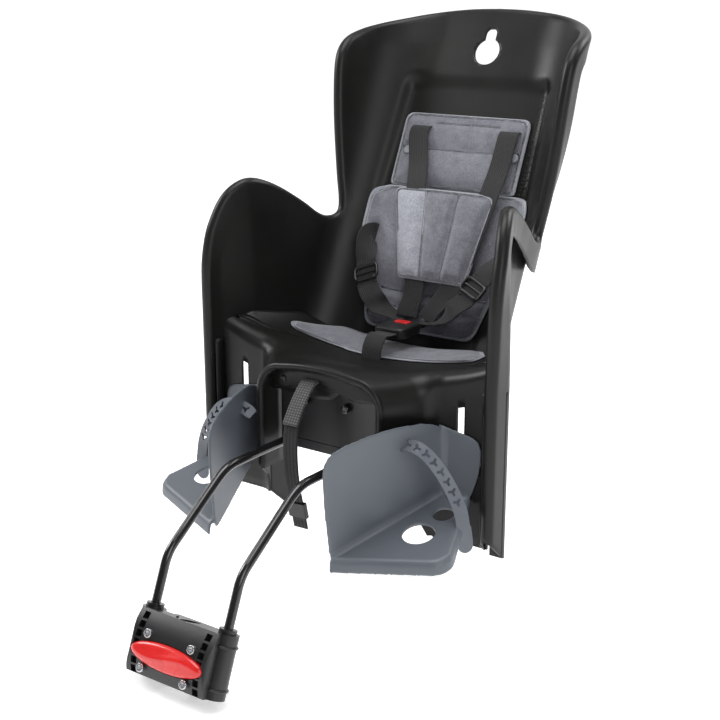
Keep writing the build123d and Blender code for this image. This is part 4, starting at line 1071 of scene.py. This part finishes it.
# Height up the back and distance before it, from behind the slot to the front of the pad
THROUGH_SLOT = ((294, -15), (294, -6), (293.5, 5), (289, 9.5), (278, 10.8))
SHOULDER_RUN = {
    1: ((70, 240), (69, 202), (62, 150), (54, 100), (47, 72), (40, 56), (28, 34), (22, 20)),
    -1: ((-58, 240), (-47, 202), (-38, 150), (-25, 100), (-12, 72), (-9, 50), (-9, 29), (-9, 20)),
}
SHOULDER_OUT = (12.3, 18.8, 18.8, 18.8, 18.8, 18.6, 21.0, 21.5)
HIP = (
    (103, 549, 374), (103, 528.5, 384), (104, 513, 380), (93.7, 494.9, 352.1), (90.8, 491.3, 346.8),
    (80.2, 477.9, 327.2), (78.1, 475.3, 323.4), (63, 466.5, 309.7), (48, 468, 296), (34, 469.5, 287.6),
    (19, 469.5, 285.6),
)
TURNING = np.array(FLAT) * 0.6 + UP * 0.43 + OUT * 0.67
HIP_WAYS = (
    UP, UP, TURNING, FLAT, FLAT, FLAT, FLAT, (0.95, -0.2, 0.1), (0.6, -0.8, 0), (0, -1, 0), (0, -1, 0),
)
NEAR_BUCKLE = 40
HIP_SHIFT = {1: 0, -1: -8}
CROTCH = ((0, 372, 236), (0, 372, 258), (0.5, 375, 272), (1.5, 384, 283), (4, 395, 283.4), (4, 415, 283))
SAFETY_UPPER = ((-16, 280.5, 249), (-16, 268, 249), (-16, 256, 246), (-15.5, 238, 229), (-15, 219, 204))
SAFETY_LOWER = (
    (-15, 236, 220), (-15, 223, 203), (-14, 218, 170), (-12, 219, 130), (-10, 226, 92), (-9, 231, 66),
)
# Name, stations, number of rows, thickness and material
SAFETY = (("upper", SAFETY_UPPER, 70, 4, COARSE), ("lower", SAFETY_LOWER, 90, 2, RIBBED))
SAFETY_WIDE = 22


def strap(name, stands_for, stations, ways, count, width=WIDE, thick=THIN, mat=WEBBING):
    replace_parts(ribbon(name, stations, ways, width, thick, mat, count), stands_for)


for side, word in SIDES:
    stations = [on_back(STRAP_SLOT * side, up, out) for up, out in THROUGH_SLOT]
    stations += [on_back(x, up, out) for (x, up), out in zip(SHOULDER_RUN[side], SHOULDER_OUT)]
    ways = [FLAT] * (len(stations) - 2) + [(0.95, 0, 0.25 * side)] * 2
    strap("shoulder_webbing_" + word, "shoulder_strap_" + word, stations, ways, 150)
for side, word in SIDES:
    stations = [(side * (x + (HIP_SHIFT[side] if x < NEAR_BUCKLE else 0)), y, z) for x, y, z in HIP]
    ways = [(side * a, b, c) for a, b, c in HIP_WAYS]
    strap("hip_webbing_" + word, "hip_strap_" + word, stations, ways, 130)
strap("crotch_webbing", "crotch_strap", CROTCH, [FLAT] * len(CROTCH), 60)
for word, stations, count, thick, mat in SAFETY:
    ways = [FLAT] * len(stations)
    strap("safety_webbing_" + word, "safety_strap_" + word, stations, ways, count, SAFETY_WIDE, thick, mat)


# Footrests: rough slabs joined by a fine remesh, so that every edge is rounded

INNER_FROM = np.array([85.0, 150.0])
INNER_TO = np.array([143.0, 312.0])
INNER_WAY = unit(INNER_TO - INNER_FROM)
INNER_OUT = np.array([INNER_WAY[1], -INNER_WAY[0], 0.0])
TRAY_WALL = 3.4
# Inner wall: distance along it and height
INNER_WALL = (
    (17, 69), (11, 76), (9, 84), (5, 115), (1.5, 150), (0, 184), (2, 194), (7, 202), (15, 208), (32, 213),
    (68, 218.5), (104, 220.5), (142, 218), (160, 213.5), (172, 208), (172, 113), (150, 108), (40, 75),
)
# Floor seen from above
TRAY_FLOOR = ((92, 163), (214, 206), (219, 214), (190, 282), (184, 300), (181, 316), (143, 316))
# Back wall seen from the front
BACK_WALL = (
    (139, 112), (139, 209.5), (187, 201), (195, 196), (199.5, 186), (199.5, 172), (196, 152), (189, 132),
    (182, 116),
)
BACK_WALL_Y = 314.2
TRAY_EDGE = ((90, 161), (216, 206), (189, 284), (182, 316))
TRAY_EDGE_RADII = (16, 40)
EDGE_STEPS = 60
EDGE_OUTER, EDGE_INNER = 9.5, 6.3
SLIDE = ((163.5, 316, 176), (172.5, 316, 176), (172.5, 316, 198), (163.5, 316, 198))
SLIDE_DEPTH = 14
# Fillets: distance from the inner wall and height over the floor, then plan, then depth and height
WALL_FILLET = ((0, -1.5), (7, -1.5), (2.2, 2.2), (0, 7))
CORNER_FILLET = ((141, 315), (143.5, 304), (147, 311), (154, 315))
BACK_FILLET = ((315, -1.5), (308, -1.5), (312.4, 2.2), (315, 7))
BACK_FOOT_Y = 313.0
FILLET_OFF, WALL_OFF = 2.6, -0.2
TRAY_LEVEL, TRAY_LEVEL_Y, TRAY_SLOPE = 86.0, 180.0, 0.279
VOXEL = 0.0016
TRAY_HOLES = ((164, 234, 19.8), (172, 276.5, 13.4))


def floor_z(y):
    return TRAY_LEVEL + TRAY_SLOPE * (y - TRAY_LEVEL_Y)


def at_wall(along, z, off):
    return np.array([*(INNER_FROM + INNER_WAY * along), z]) + INNER_OUT * off


def turned_down_rim():
    """Sections of the rim round the front and the outer side, smaller towards the back."""
    quarter = math.pi / 2
    ring = [(EDGE_OUTER * math.sin(a), -EDGE_OUTER * (1 - math.cos(a))) for a in np.linspace(0, quarter, 8)]
    ring += [(10.5, -17), (9.0, -19), (7.3, -18)]
    for a in np.linspace(quarter, 0, 6):
        ring.append((EDGE_INNER * math.sin(a), -EDGE_OUTER + EDGE_INNER * math.cos(a)))
    ring += [(-3.0, -3.2), (-3.0, 0.0)]
    edge = spread(rounded_path(TRAY_EDGE, TRAY_EDGE_RADII, EDGE_STEPS), EDGE_STEPS)
    way = unit(np.gradient(edge, axis=0))
    fade = np.interp(np.arange(EDGE_STEPS), (0, 30, 44, 59), (1, 1, 0.85, 0.5))
    sections = []
    for (x, y), (way_x, way_y), share in zip(edge, way, fade):
        z = floor_z(y)
        sections.append([(x + way_y * a * share, y - way_x * a * share, z + b * share) for a, b in ring])
    return sections


def footrest_form():
    bm = bmesh.new()
    slab(bm, [at_wall(a, z, WALL_OFF) for a, z in INNER_WALL], INNER_OUT * TRAY_WALL)
    slab(bm, [np.array([x, y, floor_z(y)]) for x, y in TRAY_FLOOR], np.array([0, 0, -TRAY_WALL]))
    slab(bm, [np.array([x, BACK_WALL_Y, z]) for x, z in BACK_WALL], np.array([0, TRAY_WALL, 0]))
    tube(bm, turned_down_rim())
    # Fillets where the walls meet the floor and each other
    foot = []
    for along in np.linspace(12, 168, 24):
        z = floor_z(at_wall(along, 0, FILLET_OFF)[1])
        foot.append([at_wall(along, z + rise, FILLET_OFF + off) for off, rise in WALL_FILLET])
    tube(bm, foot)
    tube(bm, [[(x, y, z) for x, y in CORNER_FILLET] for z in np.linspace(118, 204, 12)])
    z = floor_z(BACK_FOOT_Y)
    tube(bm, [[(x, y, z + rise) for y, rise in BACK_FILLET] for x in np.linspace(146, 180, 10)])
    slab(bm, [np.array(p) for p in SLIDE], np.array([0, SLIDE_DEPTH, 0]))
    return bm


for side, word in SIDES:
    form = footrest_form()
    for v in form.verts:
        v.co.x *= side
    bmesh.ops.recalc_face_normals(form, faces=form.faces)
    tray = object_from(form, "footrest_tray_" + word)
    mod = tray.modifiers.new("join", "REMESH")
    mod.mode = "VOXEL"
    mod.voxel_size = VOXEL
    mod.use_smooth_shade = True
    mod = tray.modifiers.new("soften", "SMOOTH")
    mod.factor = 0.5
    mod.iterations = 5
    apply_modifiers(tray)
    holes = []
    for x, y, radius in TRAY_HOLES:
        middle = np.array([side * x, y, floor_z(y)])
        holes.append(prism(oval_ring(radius, radius, 64), middle, X_WAY, Y_WAY, 60))
    cut(tray, holes)
    tray.data.shade_smooth()
    dress(tray, FOOT, "footrest_" + word, "footrest_" + word)


# Foot straps: a flat strip with three-armed holes, then bent over the foot

STRAP_PATH = (
    (107, 259, 188), (120, 259, 194), (133, 258.5, 197), (147, 258, 196), (160, 258.5, 189.5),
    (172, 260, 178), (183, 262, 163.5), (193, 263.5, 147), (201, 266, 128), (204.5, 267, 110),
    (206.5, 269, 92), (207.5, 270, 74),
)
BAND_WIDTH, BAND_THICK = 16.5, 2.5
BAND_TIP = BAND_WIDTH * 0.62
BAND_END, BAND_END_WIDER = 34, 1.12
BAND_START, BAND_START_NARROWER = 6.0, 0.2
HOLE_ARM = ((1.6, -1.6), (4.8, -1.6), (5.6, 0), (4.8, 1.6), (1.6, 1.6))
HOLE_PLACES = np.arange(13, 128, 13.5)
# Directions across the band at its inner and its outer end; the left band turns further outward
BAND_WAYS = np.array(((0.15, 0.72, 0.75), (0.75, 0.72, 0)))
LEFT_FACING = np.array([-0.55, -0.79, 0.28])
LEFT_TWIST, TWIST_SHARE = 1.6, 0.35


def strap_strip(length):
    bm = bmesh.new()
    cols, rows = 8, 110
    grid = []
    for layer in (0.0, BAND_THICK):
        for r in range(rows):
            run = length * r / (rows - 1)
            tip = max(0.0, (run - (length - BAND_TIP)) / BAND_TIP)
            start = max(0.0, (BAND_START - run) / BAND_START)
            half = BAND_WIDTH / 2 * math.sqrt(max(0.02, 1 - tip * tip)) * (1 - BAND_START_NARROWER * start)
            half *= BAND_END_WIDER if run > length - BAND_END else 1.0
            for c in range(cols):
                grid.append(bm.verts.new((run * MM, half * (2 * c / (cols - 1) - 1) * MM, layer * MM)))
    n = rows * cols
    for f in grid_faces(rows, cols):
        bm.faces.new([grid[v] for v in reversed(f)])
        bm.faces.new([grid[n + v] for v in f])
    ring = grid_border(rows, cols)
    for a, b in zip(ring, ring[1:] + ring[:1]):
        bm.faces.new((grid[a], grid[b], grid[n + b], grid[n + a]))
    bmesh.ops.recalc_face_normals(bm, faces=bm.faces)
    return bm


def three_arms(run):
    """Cutter for one hole: three short arms from a middle."""
    ring = []
    for a in turns(3):
        way, off = np.array([math.cos(a), math.sin(a)]), np.array([-math.sin(a), math.cos(a)])
        ring += [way * u + off * v + (run, 0) for u, v in HOLE_ARM]
    return prism(ring, np.array([0, 0, 2.0]), X_WAY, Y_WAY, 12)


path = catmull(STRAP_PATH, 400)
lengths = path_lengths(path)
tangent = unit(np.gradient(path, axis=0))
for side, word in SIDES:
    band = object_from(strap_strip(lengths[-1]), "foot_band_" + word)
    cut(band, [three_arms(run) for run in HOLE_PLACES])
    for v in band.data.vertices:
        run, across, high = np.array(v.co) / MM
        share = run / lengths[-1]
        t = unit(at_lengths(run, lengths, tangent))
        a = BAND_WAYS[0] * (1 - share) + BAND_WAYS[1] * share
        a = unit(a - t * (a @ t))
        if side < 0:
            turned = np.cross(t, LEFT_FACING)
            turned *= 1 if turned @ a > 0 else -1
            a = unit(a + turned * LEFT_TWIST * float(smooth(share / TWIST_SHARE)))
        n = np.cross(a, t)
        if n[2] + n[0] - n[1] < 0:
            n = -n
        p = at_lengths(run, lengths, path) + a * across + n * (high - BAND_THICK / 2)
        v.co = p * (side, 1, 1) * MM
    turn_outward(band)
    dress(band, FOOT_STRAP, "footrest_" + word, "foot_strap_" + word)


# Strap adjusters: a rounded frame with a middle bar

def swept_ring(points, radius, flat, sides=10, close=True):
    """Grid of a round section swept along a closed or open path."""
    points = np.asarray(points, float)
    ahead = np.gradient(points, axis=0)
    if close:
        ahead = np.roll(points, -1, axis=0) - np.roll(points, 1, axis=0)
    up = unit(flat)
    rows = []
    for p, t in zip(points, unit(ahead)):
        side = unit(np.cross(t, up))
        rows.append([p + radius * (math.cos(a) * side + math.sin(a) * up) for a in turns(sides)])
    faces = grid_faces(len(points), sides, True)
    last = (len(points) - 1) * sides
    if close:
        faces += [(last + k, last + (k + 1) % sides, (k + 1) % sides, k) for k in range(sides)]
    else:
        faces.append(tuple(reversed(range(sides))))
        faces.append(tuple(last + k for k in range(sides)))
    return np.array(rows).reshape(-1, 3), faces


ADJUSTER_HALF, ADJUSTER_HALF_RUN, ADJUSTER_ROUND = 17, 10, 6
ADJUSTER_BEND = 0.003
ADJUSTER_MIDDLE = np.array([85.5, 484.6, 337.0])
ADJUSTER_RUN = unit((-0.41, -0.514, -0.754))
SQUARE = ((-1, -1), (1, -1), (1, 1), (-1, 1))
adjuster_corners = [(ADJUSTER_HALF * a, ADJUSTER_HALF_RUN * b) for a, b in SQUARE]
outline, _ = closed_outline(adjuster_corners, [ADJUSTER_ROUND] * len(SQUARE))
outline = spread(np.vstack([outline, outline[:1]]), 61)[:-1]
for side, word in SIDES:
    middle = ADJUSTER_MIDDLE * (side, 1, 1)
    run = ADJUSTER_RUN * (side, 1, 1)
    across = unit(X_WAY - run * run[0])
    front = np.cross(run, across)
    if front @ OUT < 0:
        front = -front
    frame_path = [middle + across * a + run * b + front * (1.9 + ADJUSTER_BEND * a * a) for a, b in outline]
    bar_path = [middle + across * a + front * 2.0 for a in np.linspace(-16.5, 16.5, 12)]
    low_bar = [middle + across * a + run * ADJUSTER_HALF_RUN + front * 2.6 for a in np.linspace(-14, 14, 12)]
    rings = [swept_ring(frame_path, 2.3, front)]
    rings.append(swept_ring(bar_path, 1.8, front, close=False))
    rings.append(swept_ring(low_bar, 2.6, front, close=False))
    adjuster = merged("strap_adjuster_" + word, rings, TRIM, "seat")
    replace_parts(adjuster, "hip_adjuster_" + word)


# Seat-tube block: convex front, rib pockets at both edges, banded barrels

TUBE_UP = np.array([0, 0.389929, 0.920845])
TUBE_FRONT = np.array([0, -0.920845, 0.389929])
BLOCK_LOW, BLOCK_HIGH, BLOCK_BEHIND = -44, 50, -70
POCKET_X, POCKET_HALF_X, POCKET_HALF_UP = 46.5, 4.2, 3.9
POCKET_LOWEST, POCKET_PITCH, POCKETS = -32.5, 10.2, 7
POCKET_DEPTH, WELL_DEPTH, BLOCK_WIDE = 18, 21, 200
WELL_X, WELL_UP, WELL_FRONT = 54.0, 15.9, 28
OVAL_X, OVAL_UP, OVAL_MIDDLE = 53, 15.0, -9
OVAL_FACE, OVAL_FOOT = 28.2, 22.0
OVAL_DOME, OVAL_EDGE = 3.68, 0.9
RIDGE, RIDGE_WIDTH, RIDGE_WAVE = 1.7, 0.34, 20.0
BULGE_BEND = 0.0068
BARREL_X = 55.2
BAND_RADIUS = 14.259
BAND_LEVELS = (22, -26)


def on_block(x, up, front):
    return X_WAY * x + TUBE_UP * up + TUBE_FRONT * front


def bulge(up):
    return 28.05 - BULGE_BEND * (up + 4.0) ** 2


block = link_object("block_casing", NODES["block_front"].data.copy())
curve = [(up, bulge(up)) for up in np.linspace(BLOCK_LOW, BLOCK_HIGH, 48)]
curve += [(BLOCK_HIGH, BLOCK_BEHIND), (BLOCK_LOW, BLOCK_BEHIND)]
cut(block, [prism(curve, np.zeros(3), TUBE_UP, TUBE_FRONT, BLOCK_WIDE)], "INTERSECT")
pockets = []
for side, _ in SIDES:
    for k in range(POCKETS):
        up = POCKET_LOWEST + POCKET_PITCH * k
        ring = [(side * POCKET_X + a * POCKET_HALF_X, up + b * POCKET_HALF_UP) for a, b in SQUARE]
        pockets.append(prism(ring, TUBE_FRONT * (bulge(up) + 3), X_WAY, TUBE_UP, POCKET_DEPTH))
# The well takes the pressed oval button
well = [(a, b + OVAL_MIDDLE) for a, b in oval_ring(WELL_X, WELL_UP, 64)]
pockets.append(prism(well, TUBE_FRONT * WELL_FRONT, X_WAY, TUBE_UP, WELL_DEPTH))
cut(block, pockets)
mod = block.modifiers.new("edges", "BEVEL")
mod.width = 0.0008
mod.segments = 2
mod.limit_method = "ANGLE"
mod.angle_limit = math.radians(40)
apply_modifiers(block)
dress(block, TRIM, "seat", "block_front")
for face in block.data.polygons:
    face.use_smooth = False
    face.material_index = 0
bands = []
for side, _ in SIDES:
    for up in BAND_LEVELS:
        ring = [on_block(side * BARREL_X + a, up, b) for a, b in oval_ring(BAND_RADIUS, BAND_RADIUS, 48)]
        bands.append(swept_ring(ring, 1.6, TUBE_UP, 8))
merged("barrel_bands", bands, TRIM, "seat")


def dome_button():
    """Oval button with a raised, pinched middle."""
    rows, sides = 16, 72
    grid = []
    for f in np.linspace(0, 1, rows + 1):
        ring = []
        body = OVAL_DOME * math.sqrt(1 - f * f) ** 0.8
        edge = OVAL_EDGE * (1 - f ** 10)
        for x, u in oval_ring(OVAL_X * f, OVAL_UP * f, sides):
            off_ridge = u / OVAL_UP / RIDGE_WIDTH - math.sin(x / RIDGE_WAVE)
            ridge = RIDGE * math.exp(-off_ridge ** 2) * (1 - f ** 3)
            sink = BULGE_BEND * (u - 5) ** 2 * 0.6
            ring.append(on_block(x, OVAL_MIDDLE + u, OVAL_FACE + edge + body + ridge - sink))
        grid.append(ring)
    grid.append([on_block(x, OVAL_MIDDLE + u, OVAL_FOOT) for x, u in oval_ring(OVAL_X, OVAL_UP, sides)])
    return np.array(grid).reshape(-1, 3), grid_faces(rows + 2, sides, True)


oval = merged("release_oval", (dome_button(),), RED, "block_button")
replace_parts(oval, "release_button")


# Apron under the front of the seat, with a rivet

APRON = (
    (-90, 226), (-83, 229), (-56, 226), (-10, 226), (12, 229), (24, 238), (38, 243), (50, 238), (58, 232),
    (90, 236), (91, 243), (84, 252), (70, 258.5), (48, 263), (20, 265.5), (-20, 265.5), (-48, 263),
    (-70, 258.5), (-84, 252), (-91, 243),
)
APRON_MIDDLE = np.array([0.0, 244.0])
APRON_Y = 271.0
APRON_SWELL = 3.5
APRON_BEND = 0.0006
APRON_ROWS = 14
APRON_WALL = 2.5
RIVET = np.array([-62, 267.0, 244])
RIVET_RADIUS, RIVET_HIGH = 4.2, 2.6
RIVET_ROWS, RIVET_SIDES = 8, 24

outline = spread(np.vstack([APRON, APRON[:1]]), 160)[:-1]
rows = []
for f in np.linspace(1, 0.04, APRON_ROWS):
    depth = APRON_Y - APRON_SWELL * float(smooth((1 - f) / 0.35))
    rows.append([(x, depth + APRON_BEND * x ** 2, z) for x, z in outline * f + APRON_MIDDLE * (1 - f)])
faces = grid_faces(APRON_ROWS, len(outline), True)
faces.append(tuple((APRON_ROWS - 1) * len(outline) + k for k in range(len(outline))))
solidified("apron", np.array(rows).reshape(-1, 3), faces, SHELL, "seat", "shell_black", APRON_WALL)
dome = []
for t in np.linspace(0, math.pi / 2, RIVET_ROWS):
    radius = RIVET_RADIUS * math.cos(t)
    dome += [RIVET + (a, -RIVET_HIGH * math.sin(t), b) for a, b in oval_ring(radius, radius, RIVET_SIDES)]
merged("apron_rivet", ((dome, grid_faces(RIVET_ROWS, RIVET_SIDES, True)),), TRIM, "seat")


# Finishes of the CAD pieces

FINISH = (
    (SHELL, ("seat_shell",)),
    (TRIM, (
        "buckle_body", "buckle_tongues", "strap_anchors", "hip_adjuster_left", "hip_adjuster_right",
        "block_front", "block_rear", "carrier_body", "clamp_plate", "safety_strap_buckle",
    )),
    (RED, ("buckle_button", "release_button")),
    (STEEL, ("block_bolts", "block_nuts")),
    (BAR, ("support_bar", "carrier_bolts", "carrier_nuts")),
    (STUD, ("pad_studs",)),
    (PAD, ("upper_back_pad", "lower_back_pad", "seat_pad", "chest_pad")),
    (WEBBING, (
        "crotch_strap", "shoulder_strap_left", "shoulder_strap_right", "hip_strap_left", "hip_strap_right",
    )),
    (COARSE, ("safety_strap_upper",)),
    (RIBBED, ("safety_strap_lower",)),
    (FOOT, ("footrest_left", "footrest_right")),
    (FOOT_STRAP, ("foot_strap_left", "foot_strap_right")),
)
for mat, names in FINISH:
    for name in names:
        data = NODES[name].data
        if not data.materials:
            data.materials.append(mat)
        for k in range(len(data.materials)):
            data.materials[k] = mat


# Camera, light and floor

CAMERA_DOWN, CAMERA_TURN = 16.47, 35.14
# Name, place, aim, size and power
LIGHTS = (
    ("key", (-2.2, -0.5, 1.7), (0, 0.35, 0.4), (1.0, 1.0), 40),
    ("fill", (1.9, -0.9, 1.3), (0, 0.35, 0.35), (1.2, 1.4), 17),
    ("rim", (0.9, 1.9, 1.9), (0, 0.4, 0.4), (1.4, 1.0), 26),
    ("top", (0.0, 0.2, 2.4), (0, 0.35, 0.3), (1.5, 1.5), 38),
)
BEHIND = (-0.575, 0.818, 0.0)
SKY_STOPS = ((0.0, (0.16, 0.16, 0.165)), (0.55, (0.3, 0.3, 0.3)), (0.8, (1, 1, 1)))
GROUND = -0.046
FLOOR_HALF = 400

cam_data = bpy.data.cameras.new("camera")
cam_data.sensor_width = 36.0
cam_data.lens = 65.0
cam = link_object("camera", cam_data)
cam.location = (0.9202, -0.9605, 0.7316)
cam.rotation_euler = (math.radians(90 - CAMERA_DOWN), 0, math.radians(CAMERA_TURN))
bpy.context.scene.camera = cam

for name, place, target, size, power in LIGHTS:
    data = bpy.data.lights.new(name, "AREA")
    data.shape = "RECTANGLE"
    data.size, data.size_y = size
    data.energy = power
    lamp = link_object(name, data)
    lamp.location = place
    lamp.rotation_euler = (Vector(target) - Vector(place)).to_track_quat("-Z", "Y").to_euler()

world = bpy.data.worlds.new("studio")
world.use_nodes = True
sky = world.node_tree
facing_back = node(sky, "ShaderNodeVectorMath", operation="DOT_PRODUCT")
facing_back.inputs[1].default_value = BEHIND
sky.links.new(sky.nodes.new("ShaderNodeTexCoord").outputs["Generated"], facing_back.inputs[0])
shade = ramp(sky, facing_back.outputs["Value"], SKY_STOPS)
sky.links.new(shade, sky.nodes["Background"].inputs["Color"])
sky.nodes["Background"].inputs["Strength"].default_value = 1.0
bpy.context.scene.world = world
bpy.context.scene.view_settings.view_transform = "Standard"

paper, tree, bsdf = new_material("floor_paper")
grain = noise(tree, object_coords(tree), Scale=40.0, Detail=3.0)
tone = ramp(tree, grain, ((0.3, (0.90, 0.90, 0.90)), (0.7, (0.93, 0.93, 0.93))))
tree.links.new(tone, bsdf.inputs["Base Color"])
set_inputs(bsdf, {"Roughness": 0.9, "Emission Color": (1, 1, 1, 1)})
# The floor glows more with the distance, so that it meets the sky without a line
far = node(tree, "ShaderNodeVectorMath", operation="LENGTH")
tree.links.new(object_coords(tree), far.inputs[0])
glow = map_range(tree, far.outputs["Value"], (1.0, 3.0), (0.5, 0.85))
tree.links.new(glow, bsdf.inputs["Emission Strength"])
floor_corners = [(FLOOR_HALF * a, FLOOR_HALF * b, GROUND) for a, b in SQUARE]
floor = mesh_object("floor", floor_corners, [(0, 1, 2, 3)], paper)
